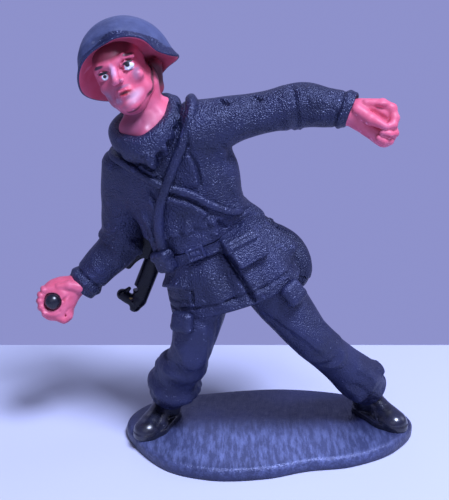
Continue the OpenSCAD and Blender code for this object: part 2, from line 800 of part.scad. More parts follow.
finger_r_share = 0.125;
hand_sides = 8;
finger_sides = 6;
module at_hand(wrist, way) {
    framed(wrist, way, unit(UP - (UP * way) * way))
        children();
}
module hand_chain(shares, r_share = finger_r_share) {
    chain([for (s = shares) s * hand_size], r_share * hand_size, finger_sides);
}
module palm(shares, r_share) {
    hull()
        for (s = shares)
            ball(s * hand_size, r_share * hand_size, hand_sides);
}
grenade_place_share = [0.63, 0.31, -0.05];
right_palm_shares = [[0.22, 0, -0.02], [0.56, -0.03, 0.14], [0.66, -0.03, -0.02], [0.52, -0.03, -0.2]];
right_thumb_shares = [[0.26, 0.02, -0.2], [0.42, 0.14, -0.42], [0.67, 0.24, -0.48]];
right_index_shares = [[0.22, 0.02, 0.19], [0.41, 0.06, 0.35], [0.62, 0.16, 0.35]];
// Turn of each finger round the palm, from the top finger to the lowest
right_finger_turns = [50, 18, -14, -46];
module grenade_form() {
    at_hand(right_wrist, right_hand_way)
        translate(grenade_place_share * hand_size)
            sphere(d = grenade_d, $fn = tenon_sides);
}
module right_hand() {
    color("#d9677a")
        union() {
            difference() {
                at_hand(right_wrist, right_hand_way) {
                    palm(right_palm_shares, 0.27);
                    hand_chain([[0.03, 0, 0.01], [0.26, 0, 0]], wrist_width / hand_size / 2);
                    hand_chain(right_thumb_shares);
                    hand_chain(right_index_shares);
                    for (a = right_finger_turns)
                        hand_chain([
                            [0.56 + 0.28 * cos(a), -0.22, -0.04 + 0.28 * sin(a)],
                            [0.56 + 0.4 * cos(a), 0, -0.04 + 0.4 * sin(a)],
                            [0.58 + 0.3 * cos(a), 0.24, -0.06 + 0.3 * sin(a)]
                        ]);
                }
                grenade_form();
                sleeve_form(right_sleeve_rings);
            }
            wrist_peg(right_wrist, right_fore_way, 0);
        }
}
module grenade() {
    color("#0e0e14")
        grenade_form();
}
left_palm_shares = [[0.21, 0.02, 0.05], [0.58, 0.03, 0.17], [0.62, -0.01, -0.2], [0.35, 0, -0.14]];
left_thumb_shares = [[0.12, -0.2, 0.22], [0.38, -0.34, 0.1], [0.62, -0.36, -0.14]];
left_finger_rise_shares = [0.3, 0.1, -0.1, -0.3];
module left_hand() {
    color("#d9677a")
        union() {
            difference() {
                at_hand(left_wrist, left_hand_way) {
                    palm(left_palm_shares, 0.26);
                    hand_chain([[0.03, 0, 0.01], [0.26, 0, 0]], wrist_width / hand_size / 2);
                    hand_chain(left_thumb_shares);
                    for (z = left_finger_rise_shares)
                        hand_chain([
                            [0.5, 0.26, z],
                            [0.84 - 0.3 * abs(z), 0.1, z],
                            [0.82 - 0.3 * abs(z), -0.16, z - 0.03],
                            [0.52, -0.24, z - 0.06]
                        ]);
                }
                sleeve_form(left_sleeve_rings);
            }
            wrist_peg(left_wrist, left_fore_way, 0);
        }
}

// Head: drawn round its own middle with the face towards -Y. Places are shares of
// [head_width, head_depth, head_height]

function on_face(share) = [share[0] * head_width, share[1] * head_depth, share[2] * head_height];
// Rows are [middle towards the back, height, width, depth]
head_shares = [
    [-0.24, -0.44, 0.4, 0.3], [-0.17, -0.36, 0.62, 0.5], [-0.09, -0.22, 0.82, 0.74], [-0.03, -0.04, 0.94, 0.9],
    [0.01, 0.14, 1, 0.98], [0.02, 0.3, 0.9, 0.9], [0.02, 0.42, 0.6, 0.62]
];
head_count = 9;
head_sides = 14;
head_rings = [for (k = [0 : head_count - 1])
    let (s = along(head_shares, k / (head_count - 1)))
    [on_face([0, s[0], s[1]]), [head_width * s[2] / 2, 0, 0], [0, -head_depth * s[3] / 2, 0]]];
module neck_form() {
    nape = head_middle - neck_len * 0.2 * trunk_up - FRONT * head_depth * 0.06;
    hull() {
        ball(nape, neck_width / 2, 2 * fold_sides);
        ball(mix(nape, neck_root, 0.75), neck_width / 2, 2 * fold_sides);
    }
    hull() {
        ball(mix(nape, neck_root, 0.6), neck_width / 2, 2 * fold_sides);
        ball(neck_root + neck_width * (0.16 * FRONT - 0.12 * trunk_across), neck_width * 0.54, 2 * fold_sides);
        ball(neck_root + neck_width * (0.14 * FRONT + 0.3 * trunk_across), neck_width * 0.44, 2 * fold_sides);
    }
}
module face_chain(shares, r_share, sides = fold_sides) {
    chain([for (s = shares) on_face(s)], r_share * head_width, sides);
}
module skull() {
    at_head()
        loft(domed(head_rings, head_height * 0.05, head_height * 0.08), head_sides);
}
module head() {
    color("#d9677a")
        difference() {
            union() {
                skull();
                at_head() {
                    face_chain([[0, -0.45, 0.13], [0, -0.52, -0.01], [0, -0.55, -0.055]], 0.07, 10);
                    face_chain([[-0.08, -0.48, -0.08], [0.08, -0.48, -0.08]], 0.05);
                    for (side = [-1, 1]) {
                        face_chain([[side * 0.1, -0.44, 0.16], [side * 0.34, -0.34, 0.17]], 0.06);
                        face_chain([[side * 0.17, -0.43, 0.08], [side * 0.29, -0.38, 0.08]], 0.05);
                        face_chain([[side * 0.27, -0.37, -0.08], [side * 0.16, -0.4, -0.13]], 0.08);
                        face_chain([[side * 0.49, 0.02, 0.04], [side * 0.49, 0, -0.12]], 0.07);
                    }
                    face_chain([[-0.12, -0.45, -0.185], [0.12, -0.45, -0.185]], 0.035);
                    face_chain([[-0.09, -0.43, -0.235], [0.09, -0.43, -0.235]], 0.04);
                    face_chain([[-0.06, -0.36, -0.36], [0.06, -0.36, -0.36]], 0.085);
                }
                neck_form();
                neck_peg(0);
            }
            at_head() {
                face_chain([[-0.13, -0.485, -0.21], [0.13, -0.485, -0.21]], 0.02);
                for (side = [-1, 1])
                    face_chain([[side * 0.15, -0.475, 0.115], [side * 0.31, -0.415, 0.12]], 0.02);
            }
            helmet_form();
            difference() {
                loft(trunk, trunk_sides, trunk_power);
                neck_peg(0);
            }
        }
}

// Helmet: a turned shell. Rows of the outside are [radius, height] as shares of the half width and height
helmet_shares = [[0.001, 1], [0.3, 0.96], [0.56, 0.84], [0.75, 0.62], [0.86, 0.38], [0.92, 0.18], [1, 0]];
helmet_steps = 7;
helmet_sides = 24;
helmet_long_share = 1.06;
module helmet_form() {
    half = helmet_width / 2;
    at_helmet()
        scale([1, helmet_long_share, 1])
            rotate_extrude($fn = helmet_sides)
                polygon(concat(
                    [[0, helmet_recess]],
                    [[0, helmet_height]],
                    [for (k = [1 : helmet_steps])
                        let (p = along(helmet_shares, k / helmet_steps))
                        [p[0] * half, p[1] * helmet_height]],
                    [[half - helmet_wall, 0], [half * 0.72, helmet_recess]]
                ));
}
module helmet() {
    color("#34363f")
        helmet_form();
}

// Belt and what it carries

function trunk_side(u, angle) = unit(trunk_skin(u, angle - 2) - trunk_skin(u, angle + 2));
function trunk_rise(u, angle) =
    let (
        side = trunk_side(u, angle),
        rise = trunk_skin(u + near_share, angle) - trunk_skin(u - near_share, angle)
    )
    unit(rise - (rise * side) * side);
module on_trunk(u, angle, lift = 0) {
    framed(trunk_skin(u, angle, lift), trunk_side(u, angle), trunk_rise(u, angle))
        children();
}
module belt_form() {
    intersection() {
        loft(grown_rings(trunk, belt_thick), trunk_sides, trunk_power);
        framed(waist, trunk_across, trunk_up)
            cube([2 * chest_width, 2 * chest_width, belt_width], center = true);
    }
}
module belt() {
    color("#202029")
        difference() {
            belt_form();
            loft(trunk, trunk_sides, trunk_power);
        }
}
buckle_angle = 92;
module buckle_form() {
    on_trunk(waist_share, buckle_angle)
        pillow(buckle_width, buckle_height, belt_thick * 1.9, belt_thick * 0.7);
}
module belt_buckle() {
    color("#26262f")
        difference() {
            buckle_form();
            loft(trunk, trunk_sides, trunk_power);
            belt_form();
        }
}
left_pouch_angle = 40;
left_pouch_drop_share = 0.15;
flap_overhang_share = 0.06;
flap_height_share = 0.45;
module at_left_pouch() {
    on_trunk(waist_share, left_pouch_angle)
        translate([0, 0, -left_pouch_drop_share * left_pouch_height])
            children();
}
module left_pouch_form() {
    at_left_pouch()
        translate([0, left_pouch_depth, 0])
            pillow(left_pouch_width, left_pouch_height, 2 * left_pouch_depth, left_pouch_depth * 0.4);
}
module left_flap_form() {
    at_left_pouch()
        translate([0, left_pouch_depth, left_pouch_height * (1 + flap_overhang_share - flap_height_share) / 2])
            pillow(left_pouch_width * (1 + flap_overhang_share), left_pouch_height * flap_height_share,
                (2 + flap_overhang_share * 3) * left_pouch_depth, left_pouch_depth * 0.42);
}
module left_ammo_pouch() {
    color("#262630")
        difference() {
            left_pouch_form();
            left_flap_form();
            jacket_form();
            belt_form();
        }
}
module left_pouch_flap() {
    color("#2a2a35")
        difference() {
            left_flap_form();
            jacket_form();
            belt_form();
        }
}
right_pouch_angle = 136;
module right_pouch_form() {
    on_trunk(waist_share, right_pouch_angle)
        translate([0, right_pouch_depth, -right_pouch_height * 0.12]) {
            pillow(right_pouch_width, right_pouch_height, 2 * right_pouch_depth, right_pouch_depth * 0.42);
            translate([0, 0, right_pouch_height * 0.28])
                pillow(right_pouch_width * 1.08, right_pouch_height * 0.5, 2.12 * right_pouch_depth,
                    right_pouch_depth * 0.42);
        }
}
module right_ammo_pouch() {
    color("#262630")
        difference() {
            right_pouch_form();
            jacket_form();
            belt_form();
        }
}

// Haversack behind the left hip, with a roll on top and its strap over the right shoulder

haversack_way = heading(62, 0);
haversack_up = unit([0.9, -0.15, 1]);
haversack_side = unit(cross(-haversack_way, haversack_up));
haversack_middle = waist + waist_width * [0.83, 0.2, 0] - haversack_height * 0.43 * UP;
haversack_corners = 7;
module haversack_form() {
    r = haversack_depth / 2;
    framed(haversack_middle, haversack_side, haversack_up)
        hull()
            for (k = [0 : haversack_corners - 1])
                let (a = 90 + 360 * k / haversack_corners)
                    translate([(haversack_width / 2 - r) * cos(a), -r, (haversack_height / 2 - r) * sin(a)])
                        sphere(r = r, $fn = 2 * fold_sides);
}
module haversack() {
    color("#24242d")
        difference() {
            haversack_form();
            jacket_form();
            belt_form();
            leg_form(left_leg_rings);
            left_pouch_form();
        }
}
roll_middle = haversack_middle + haversack_up * haversack_height * 0.29
    + haversack_way * haversack_depth * 0.35 + haversack_side * haversack_width * 0.5;
roll_axis = unit(haversack_side - 0.35 * haversack_up);
roll_half = haversack_width * 0.16;
module roll_form() {
    rod(roll_middle - roll_half * roll_axis, roll_middle + roll_half * roll_axis, roll_d / 2, roll_d / 2,
        2 * fold_sides);
}
module haversack_roll() {
    color("#1b1b23")
        difference() {
            roll_form();
            haversack_form();
            jacket_form();
            belt_form();
        }
}
// Routes of the straps over the trunk's skin: rows of [u, angle]
strap_shares = [
    [0.4, -40], [0.4, -10], [0.43, 30], [0.49, 60], [0.55, 78], [0.61, 96], [0.68, 114], [0.75, 134],
    [0.81, 168], [0.82, 196], [0.72, 230], [0.6, 264], [0.5, 296], [0.44, 316]
];
sling_front_shares = [
    [0.76, 52], [0.69, 72], [0.62, 92], [0.55, 108], [0.48, 126], [0.4, 142], [0.35, 162], [0.32, 196]
];
sling_back_shares = [[0.56, 300], [0.66, 306], [0.78, 312]];
strap_steps = 16;
// Stand of the sling's middle line off the jacket, for it crosses over the haversack strap
sling_lift = strap_width * 0.15;
function route(shares, steps, lift) =
    [for (k = [0 : steps]) let (s = along(shares, k / steps)) trunk_skin(s[0], s[1], lift)];
function over_shoulder(across, up, front) =
    left_shoulder + sleeve_width * (across * trunk_across + up * trunk_up + front * FRONT);
sling_top = [
    over_shoulder(-0.3, 0.3, -0.5), over_shoulder(-0.26, 0.58, -0.1), over_shoulder(-0.34, 0.42, 0.36)
];
module strap_form() {
    chain(route(strap_shares, strap_steps, 0), strap_width / 2);
}
module sling_form() {
    chain(
        concat(
            [on_gun(body_share)],
            route(sling_back_shares, 2, sling_lift),
            sling_top,
            route(sling_front_shares, strap_steps / 2, sling_lift),
            [on_gun(stock_share + 0.08)]
        ),
        sling_width / 2
    );
}
module haversack_strap() {
    color("#262630")
        difference() {
            strap_form();
            jacket_form();
            belt_form();
            haversack_form();
            left_pouch_form();
            left_flap_form();
        }
}
module gun_sling() {
    color("#262630")
        difference() {
            sling_form();
            jacket_form();
            strap_form();
            belt_form();
            right_pouch_form();
        }
}

// Gun: slung butt down behind the right hip. It is drawn from its butt up along +Z, with its sights back

gun_way = [sin(gun_lean), 0, cos(gun_lean)];
gun_butt = waist + waist_width * [-0.84, 0.47, 0] - gun_len * 0.42 * UP;
function on_gun(share) = gun_butt + share * gun_len * gun_way + 0.4 * gun_width * FRONT;
module at_gun() {
    framed(gun_butt, unit(cross(gun_way, FRONT)), gun_way)
        children();
}
module gun_block(from, to, width, depth, r) {
    hull()
        for (z = [from + r, to - r], x = [r - width / 2, width / 2 - r], y = [r - depth / 2, depth / 2 - r])
            translate([x, y, z])
                sphere(r = r, $fn = fold_sides);
}
module gun_cuts() {
    jacket_form();
    sling_form();
    strap_form();
    sleeve_form(right_sleeve_rings);
    leg_form(right_leg_rings);
    right_pouch_form();
}
stock_share = 0.28;
body_share = 0.68;
module stock_form() {
    at_gun() {
        gun_block(gun_len * 0.07, gun_len * stock_share, gun_width * 0.9, gun_width * 0.8, gun_width * 0.2);
        gun_block(0, gun_len * 0.1, gun_width * 1.3, gun_width * 0.9, gun_width * 0.25);
        rod([0, 0, gun_len * 0.04], [-gun_width * 1.3, 0, gun_len * 0.055], gun_width * 0.42,
            gun_width * 0.36);
    }
}
module gun_stock() {
    color("#0e0e14")
        difference() {
            stock_form();
            gun_cuts();
        }
}
module gun_body() {
    color("#101017")
        difference() {
            at_gun()
                gun_block(gun_len * stock_share, gun_len * body_share, gun_width, gun_width, gun_width * 0.22);
            gun_cuts();
        }
}
module gun_magazine() {
    color("#0e0e14")
        difference() {
            at_gun()
                hull()
                    for (p = [[0, stock_share + 0.03], [-1.25, stock_share - 0.055]])
                        translate([p[0] * gun_width, 0, p[1] * gun_len])
                            rotate([0, 25, 0])
                                cube([gun_width * 0.4, gun_width * 0.5, gun_width * 0.9], center = true);
            at_gun()
                gun_block(gun_len * stock_share, gun_len * body_share, gun_width, gun_width, gun_width * 0.22);
            stock_form();
            gun_cuts();
        }
}
module gun_barrel() {
    color("#101017")
        difference() {
            at_gun()
                translate([0, 0, gun_len * body_share])
                    cylinder(d = barrel_d, h = gun_len * (1 - body_share), $fn = round_sides);
            gun_cuts();
        }
}

base();
right_boot();
left_boot();
right_trouser_leg();
left_trouser_leg();
right_thigh_pocket();
left_thigh_pocket();
jacket();
collar();
right_sleeve();
left_sleeve();
right_hand();
left_hand();
grenade();
head();
helmet();
belt();
belt_buckle();
left_ammo_pouch();
left_pouch_flap();
right_ammo_pouch();
haversack();
haversack_roll();
haversack_strap();
gun_sling();
gun_stock();
gun_body();
gun_magazine();
gun_barrel();
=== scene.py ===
import math
import bpy
import numpy as np
from mathutils import Matrix, Vector
from mathutils.bvhtree import BVHTree


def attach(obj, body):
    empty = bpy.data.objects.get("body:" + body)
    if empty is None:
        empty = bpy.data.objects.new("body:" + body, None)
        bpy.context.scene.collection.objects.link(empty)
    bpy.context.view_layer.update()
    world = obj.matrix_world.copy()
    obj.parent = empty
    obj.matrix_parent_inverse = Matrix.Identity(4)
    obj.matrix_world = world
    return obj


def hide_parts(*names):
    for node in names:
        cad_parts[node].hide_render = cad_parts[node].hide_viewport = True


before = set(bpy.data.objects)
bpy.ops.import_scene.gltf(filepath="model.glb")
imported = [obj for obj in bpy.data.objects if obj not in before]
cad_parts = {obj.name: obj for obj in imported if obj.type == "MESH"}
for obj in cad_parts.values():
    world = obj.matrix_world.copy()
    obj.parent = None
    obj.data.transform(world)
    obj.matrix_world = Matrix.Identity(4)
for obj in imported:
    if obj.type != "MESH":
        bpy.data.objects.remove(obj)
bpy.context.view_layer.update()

MM = 0.001
CAMERA_AT, CAMERA_DOWN = (-0.0076, -0.147, 0.087), 20
sin, cos, rad = math.sin, math.cos, math.radians

# Vectors and curves, in millimetres


def V(*a):
    return np.array(a, float)


def unit(v):
    return v / np.linalg.norm(v)


def units(rows):
    return rows / np.linalg.norm(rows, axis=-1)[..., None]


def mix(a, b, t):
    return a + (b - a) * t


def heading(turn, rise):
    t, r = rad(turn), rad(rise)
    return V(cos(r) * cos(t), cos(r) * sin(t), sin(r))


def smooth(t):
    t = np.clip(t, 0, 1)
    return t * t * (3 - 2 * t)


def through(a, b, c, d, t):
    """The smooth curve between b and c, for shares t of the way."""
    return (2 * b + (c - a) * t + (2 * a - 5 * b + 4 * c - d) * t * t + (3 * b - a - 3 * c + d) * t ** 3) / 2


def along(rows, u):
    """Points on the smooth curve through the rows, for an array of shares u."""
    rows, u = np.asarray(rows, float), np.atleast_1d(np.asarray(u, float))
    ends = np.vstack([2 * rows[0] - rows[1], rows, 2 * rows[-1] - rows[-2]])
    x = np.clip(u, 0, 1) * (len(rows) - 1)
    s = np.minimum(x.astype(int), len(rows) - 2)
    return through(ends[s], ends[s + 1], ends[s + 2], ends[s + 3], (x - s)[:, None])


def around(rows, u):
    """The same on a closed curve."""
    rows = np.asarray(rows, float)
    n = len(rows)
    x = np.mod(np.atleast_1d(u), 1) * n
    s = x.astype(int) % n
    share = (x - x.astype(int))[:, None]
    return through(rows[(s - 1) % n], rows[s], rows[(s + 1) % n], rows[(s + 2) % n], share)


HASH = (73856093, 19349663, 83492791)
HASH_SEED, HASH_TIMES, HASH_PLUS, HASH_MASK = 2654435, 1103515, 12345, 0xFFFFFF
HASH_HALF = 8388608.0


def noise(p, f, seed=0):
    """Smooth value noise from -1 to 1 at points p, with f cells to the millimetre."""
    q = p * f
    i = np.floor(q).astype(np.int64)
    t = q - i
    t = t * t * (3 - 2 * t)
    out = np.zeros(p.shape[:-1])
    for corner in np.ndindex(2, 2, 2):
        h, w = 0, 1
        for axis, step in enumerate(corner):
            h = h ^ ((i[..., axis] + step) * HASH[axis])
            w = w * (t[..., axis] if step else 1 - t[..., axis])
        h = (h ^ (seed * HASH_SEED)) & HASH_MASK
        h = (h * HASH_TIMES + HASH_PLUS) & HASH_MASK
        out += w * (h / HASH_HALF - 1)
    return out


# Making meshes


def link_object(name, data):
    obj = bpy.data.objects.new(name, data)
    bpy.context.scene.collection.objects.link(obj)
    return obj


def add_piece(name, verts, faces, nodes, mat):
    """One closed mesh, in millimetres, that stands for CAD nodes."""
    mesh = bpy.data.meshes.new(name)
    mesh.from_pydata((np.asarray(verts) * MM).tolist(), [], [list(map(int, f)) for f in faces])
    mesh.validate()
    mesh.polygons.foreach_set("use_smooth", [True] * len(mesh.polygons))
    mesh.materials.append(mat)
    obj = link_object(name, mesh)
    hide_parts(*nodes)
    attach(obj, "root")
    return obj


def add_loft(name, grid, nodes, mat, closed=False):
    """A piece from rings of points."""
    verts, faces = tube(grid, closed)
    return add_piece(name, verts, faces, nodes, mat)


def add_sculpt(name, field, lo, hi, step, nodes, mat):
    """A piece from a distance field inside a box."""
    verts, faces = nets(field, lo, hi, step)
    return add_piece(name, verts, faces, nodes, mat)


def outward(verts, faces):
    """Faces turned so that their normals point out."""
    v = np.asarray(verts)
    total = 0.0
    for f in faces:
        a = v[f[0]]
        for k in range(1, len(f) - 1):
            total += np.dot(a, np.cross(v[f[k]], v[f[k + 1]]))
    return faces if total > 0 else [f[::-1] for f in faces]


def tube(grid, closed=False):
    """Vertices and faces of rings of points, capped at both ends or closed on itself."""
    n, m = grid.shape[:2]
    verts = grid.reshape(-1, 3)
    rows = n if closed else n - 1
    k, i = np.meshgrid(np.arange(rows), np.arange(m), indexing="ij")
    k, i, k2, i2 = k.ravel(), i.ravel(), (k.ravel() + 1) % n, (i.ravel() + 1) % m
    faces = np.stack([k * m + i, k * m + i2, k2 * m + i2, k2 * m + i], 1).tolist()
    if not closed:
        verts = np.vstack([verts, grid[0].mean(0), grid[-1].mean(0)])
        c0, c1 = n * m, n * m + 1
        faces += [[(j + 1) % m, j, c0] for j in range(m)]
        faces += [[(n - 1) * m + j, (n - 1) * m + (j + 1) % m, c1] for j in range(m)]
    return verts, outward(verts, faces)


SETTLE_ROUNDS = 2


def nets(field, lo, hi, h):
    """A smooth closed mesh round the space where field is below 0, on a grid of step h."""
    lo = np.asarray(lo, float)
    n = np.ceil((np.asarray(hi, float) - lo) / h).astype(int) + 2
    axes = [lo[a] + h * np.arange(n[a]) for a in range(3)]
    pts = np.stack(np.meshgrid(*axes, indexing="ij"), -1)
    val = field(pts.reshape(-1, 3)).reshape(n)
    ins = val < 0
    cells = tuple(n - 1)
    acc = np.zeros((int(np.prod(cells)), 3))
    cnt = np.zeros(int(np.prod(cells)))
    quads = []
    for a in range(3):
        b, c = (a + 1) % 3, (a + 2) % 3
        s0, s1 = [slice(None)] * 3, [slice(None)] * 3
        s0[a], s1[a] = slice(0, -1), slice(1, None)
        idx = np.argwhere(ins[tuple(s0)] != ins[tuple(s1)])
        idx = idx[(idx[:, b] > 0) & (idx[:, c] > 0) & (idx[:, b] < n[b] - 1) & (idx[:, c] < n[c] - 1)]
        up = idx.copy()
        up[:, a] += 1
        v0, v1 = val[tuple(idx.T)], val[tuple(up.T)]
        pos = lo + h * idx
        pos[:, a] += h * v0 / (v0 - v1)
        ring = []
        for db, dc in ((0, 0), (1, 0), (1, 1), (0, 1)):
            cell = idx.copy()
            cell[:, b] -= db
            cell[:, c] -= dc
            flat = np.ravel_multi_index(cell.T, cells)
            np.add.at(acc, flat, pos)
            np.add.at(cnt, flat, 1)
            ring.append(flat)
        q = np.stack(ring, 1)
        flip = v0 >= 0
        q[flip] = q[flip][:, ::-1]
        quads.append(q)
    quads = np.vstack(quads)
    used, inverse = np.unique(quads, return_inverse=True)
    quads = inverse.reshape(-1, 4)
    p = acc[used] / cnt[used][:, None]
    # the points settle on the surface
    e = 0.4 * h
    for _ in range(SETTLE_ROUNDS):
        g = np.stack([field(p + e * axis) - field(p - e * axis) for axis in np.eye(3)], 1) / (2 * e)
        g2 = np.maximum((g * g).sum(1), 0.2)
        p = p - np.clip(field(p) / g2, -0.5 * h, 0.5 * h)[:, None] * g
    return p, quads


# Distance fields


def ball(p, c, r):
    return np.linalg.norm(p - np.asarray(c, float), axis=-1) - r


def oval(p, c, r):
    q = p - np.asarray(c, float)
    r = np.asarray(r, float)
    k0 = np.linalg.norm(q / r, axis=-1)
    k1 = np.maximum(np.linalg.norm(q / (r * r), axis=-1), 1e-6)
    return k0 * (k0 - 1) / k1


def rod(p, a, b, ra, rb):
    a, b = np.asarray(a, float), np.asarray(b, float)
    t = np.clip(((p - a) @ (b - a)) / ((b - a) @ (b - a)), 0, 1)
    return np.linalg.norm(p - (a + t[..., None] * (b - a)), axis=-1) - mix(ra, rb, t)


def chain(p, pts, r, k=0.0):
    """A bent rod through points; r is one radius or one for each point."""
    rr = [r] * len(pts) if np.isscalar(r) else r
    d = rod(p, pts[0], pts[1], rr[0], rr[1])
    for i in range(1, len(pts) - 1):
        d2 = rod(p, pts[i], pts[i + 1], rr[i], rr[i + 1])
        d = join(d, d2, k) if k else np.minimum(d, d2)
    return d


def block(p, c, half, r):
    q = np.abs(p - np.asarray(c, float)) - (np.asarray(half, float) - r)
    return np.linalg.norm(np.maximum(q, 0), axis=-1) + np.minimum(q.max(-1), 0) - r


def join(a, b, k):
    h = np.clip(0.5 + 0.5 * (b - a) / k, 0, 1)
    return mix(b, a, h) - k * h * (1 - h)


def carve(a, b, k):
    """a without b."""
    return -join(-a, b, k)


def local(p, at, x, z):
    """Points seen from a frame at a place, with its X and Z along two directions."""
    y = np.cross(z, x)
    return (p - at) @ np.stack([x, y, z], 1)


# The figure's skeleton, as in the solids

FRONT, UP, DOWN = V(0, -1, 0), V(0, 0, 1), V(0, 0, -1)
LEFT, RIGHT = V(1, 0, 0), V(-1, 0, 0)
BASE_LEN, BASE_DEPTH, BASE_THICK, BASE_ROUND = 48.0, 27.0, 2.2, 0.9
BOOT_LEN, BOOT_HEIGHT = 11.4, 4.8
THIGH, KNEE, CUFF = 8.2, 6.5, 7.6
SLEEVE, SLEEVE_END = 6.7, 5.2
HIP_HEIGHT, HIP_SHIFT, HIP_HALF, HIP_TILT = 28, -6.2, 4.7, 10
KNEE_SHARE, KNEE_BEND = 0.45, 3.4
WAIST_RISE, WAIST_LEAN, WAIST_W, WAIST_D = 8.4, 35, 13.8, 9.2
HEM_DROP, HEM_LEAN, HEM_W, HEM_D, HEM_TURN, HEM_DIP = 9.4, 33, 21.4, 12.4, 18, 9
TRUNK, LEAN, TURN, CHEST_W, CHEST_D = 20.2, 22.4, 12.0, 17.8, 10.2
RIGHT_HALF, LEFT_HALF, SHOULDER = 7, 8.2, 0.8
NECK_W, UPPER_ARM, RIGHT_FOREARM, LEFT_FOREARM = 5.6, 14, 9.9, 8
HEAD_RISE, HEAD_LEAN, HEAD_DIP, HEAD_DEEP, HEAD_TALL, HELMET_W = 8.1, 23, 11, 9.8, 12.2, 15.2
BAG_LEN, BAG_HIGH, BAG_DEEP, BAG_TURN = 12, 9, 4.4, 62
GUN_LEN, GUN_W, GUN_TILT = 36.0, 2.6, 21.5

hips = V(HIP_SHIFT, 0, HIP_HEIGHT)
hip_across = V(cos(rad(HIP_TILT)), 0, sin(rad(HIP_TILT)))
right_hip, left_hip = hips - hip_across * HIP_HALF, hips + hip_across * HIP_HALF
right_ankle, left_ankle = V(-17, 2.6, BASE_THICK + BOOT_HEIGHT), V(17, 4.6, BASE_THICK + BOOT_HEIGHT)
right_knee = mix(right_hip, right_ankle, KNEE_SHARE) + KNEE_BEND * V(0.25, -1, 0)
left_knee = mix(left_hip, left_ankle, KNEE_SHARE) + KNEE_BEND * V(-0.15, -1, 0)
waist = hips + WAIST_RISE * V(-sin(rad(WAIST_LEAN)), 0, cos(rad(WAIST_LEAN)))
trunk_up = V(-sin(rad(LEAN)), 0, cos(rad(LEAN)))
trunk_across = V(cos(rad(LEAN)), 0, sin(rad(LEAN)))
hem = waist + HEM_DROP * V(sin(rad(HEM_LEAN)), 0, -cos(rad(HEM_LEAN)))
neck_root = waist + TRUNK * trunk_up


def up_trunk(share, across=0.0):
    """A place on the trunk's axis, or beside it."""
    return waist + share * TRUNK * trunk_up + across * trunk_across


def shoulder(share, half):
    """A shoulder joint: half is the way from the axis, below 0 on the right."""
    return waist + SHOULDER * TRUNK * share * trunk_up + half * trunk_across + half * sin(rad(TURN)) * FRONT


# rows of [x, y, z, half width, half depth, lean, dip, turn]
SPAN, SHIFT = RIGHT_HALF + LEFT_HALF, 0.6 * (LEFT_HALF - RIGHT_HALF)
trunk_stations = [
    [*hem, HEM_W / 2, HEM_D / 2, HEM_TURN, HEM_DIP, 0],
    [*mix(hem, waist, 0.5), mix(HEM_W, WAIST_W, 0.5) / 2, mix(HEM_D, WAIST_D, 0.42) / 2,
     mix(HEM_TURN, LEAN, 0.5), HEM_DIP / 2, 0],
    [*waist, WAIST_W / 2, WAIST_D / 2, LEAN, 0, 0],
    [*up_trunk(0.18), WAIST_W * 0.55, WAIST_D * 0.55, LEAN, 0, TURN * 0.2],
    [*up_trunk(0.5, 0.035 * CHEST_W), CHEST_W / 2, CHEST_D / 2, LEAN, 0, TURN * 0.6],
    [*up_trunk(0.8, SHIFT), SPAN * 0.568, CHEST_D * 0.44, LEAN, 0, TURN],
    [*up_trunk(0.92, SHIFT), SPAN * 0.4685, CHEST_D * 0.38, LEAN, 0, TURN],
    [*neck_root, NECK_W * 0.7, NECK_W * 0.575, LEAN, 0, TURN],
]
WAIST_U = 2 / 7
right_shoulder, left_shoulder = shoulder(0.97, -RIGHT_HALF), shoulder(1.07, LEFT_HALF)
right_elbow = right_shoulder + UPPER_ARM * heading(104, -76)
left_elbow = left_shoulder + UPPER_ARM * heading(2, 11)
right_wrist = right_elbow + RIGHT_FOREARM * heading(-168, -47)
left_wrist = left_elbow + LEFT_FOREARM * heading(-17, -2)
head_middle = neck_root + HEAD_RISE * V(
    -sin(rad(HEAD_LEAN)) * cos(rad(HEAD_DIP)), -sin(rad(HEAD_DIP)), cos(rad(HEAD_LEAN)) * cos(rad(HEAD_DIP)))
nape = head_middle - HEAD_RISE * 0.2 * trunk_up - FRONT * HEAD_DEEP * 0.06
grenade_at = V(-34.9, 0, 24.8)
fist_at = left_wrist + V(3.2, -1.2, -1.2)
gun_way = V(sin(rad(GUN_TILT)), 0, cos(rad(GUN_TILT)))
gun_side = unit(np.cross(gun_way, FRONT))
butt = waist + WAIST_W * V(-0.84, 0.47, 0) - GUN_LEN * 0.42 * UP


def turned(x, y, z):
    """Rotation about X, then Y, then Z, in degrees."""
    turns = ((x, "X"), (y, "Y"), (z, "Z"))
    about_x, about_y, about_z = (Matrix.Rotation(rad(a), 3, axis) for a, axis in turns)
    return np.array(about_z @ about_y @ about_x)


HEAD = turned(-8, -25, -9)
HELMET = HEAD @ turned(-30, -4, 0)


def trunk_ring(u):
    s = along(trunk_stations, u)
    lean, dip, turn = np.radians(s[:, 5]), np.radians(s[:, 6]), np.radians(s[:, 7])
    zero = np.zeros(len(s))
    across = np.stack([np.cos(lean), zero, np.sin(lean)], 1)
    front = np.stack([zero, -np.cos(dip), -np.sin(dip)], 1)
    ct, st = np.cos(turn)[:, None], np.sin(turn)[:, None]
    return s[:, :3], s[:, 3:4] * (ct * across + st * front), s[:, 4:5] * (ct * front - st * across)


def limb(rows):
    """Stations of a round limb, from rows of a place and a width."""
    return [[*at, w / 2, w / 2] for at, w in rows]


def limb_ring(stations):
    def ring(u):
        u = np.atleast_1d(u)
        s = along(stations, u)
        ahead, behind = along(stations, np.minimum(u + 0.01, 1)), along(stations, np.maximum(u - 0.01, 0))
        way = units(ahead[:, :3] - behind[:, :3])
        side = units(np.cross(way, FRONT))
        return s[:, :3], s[:, 3:4] * side, s[:, 4:5] * np.cross(side, way)
    return ring


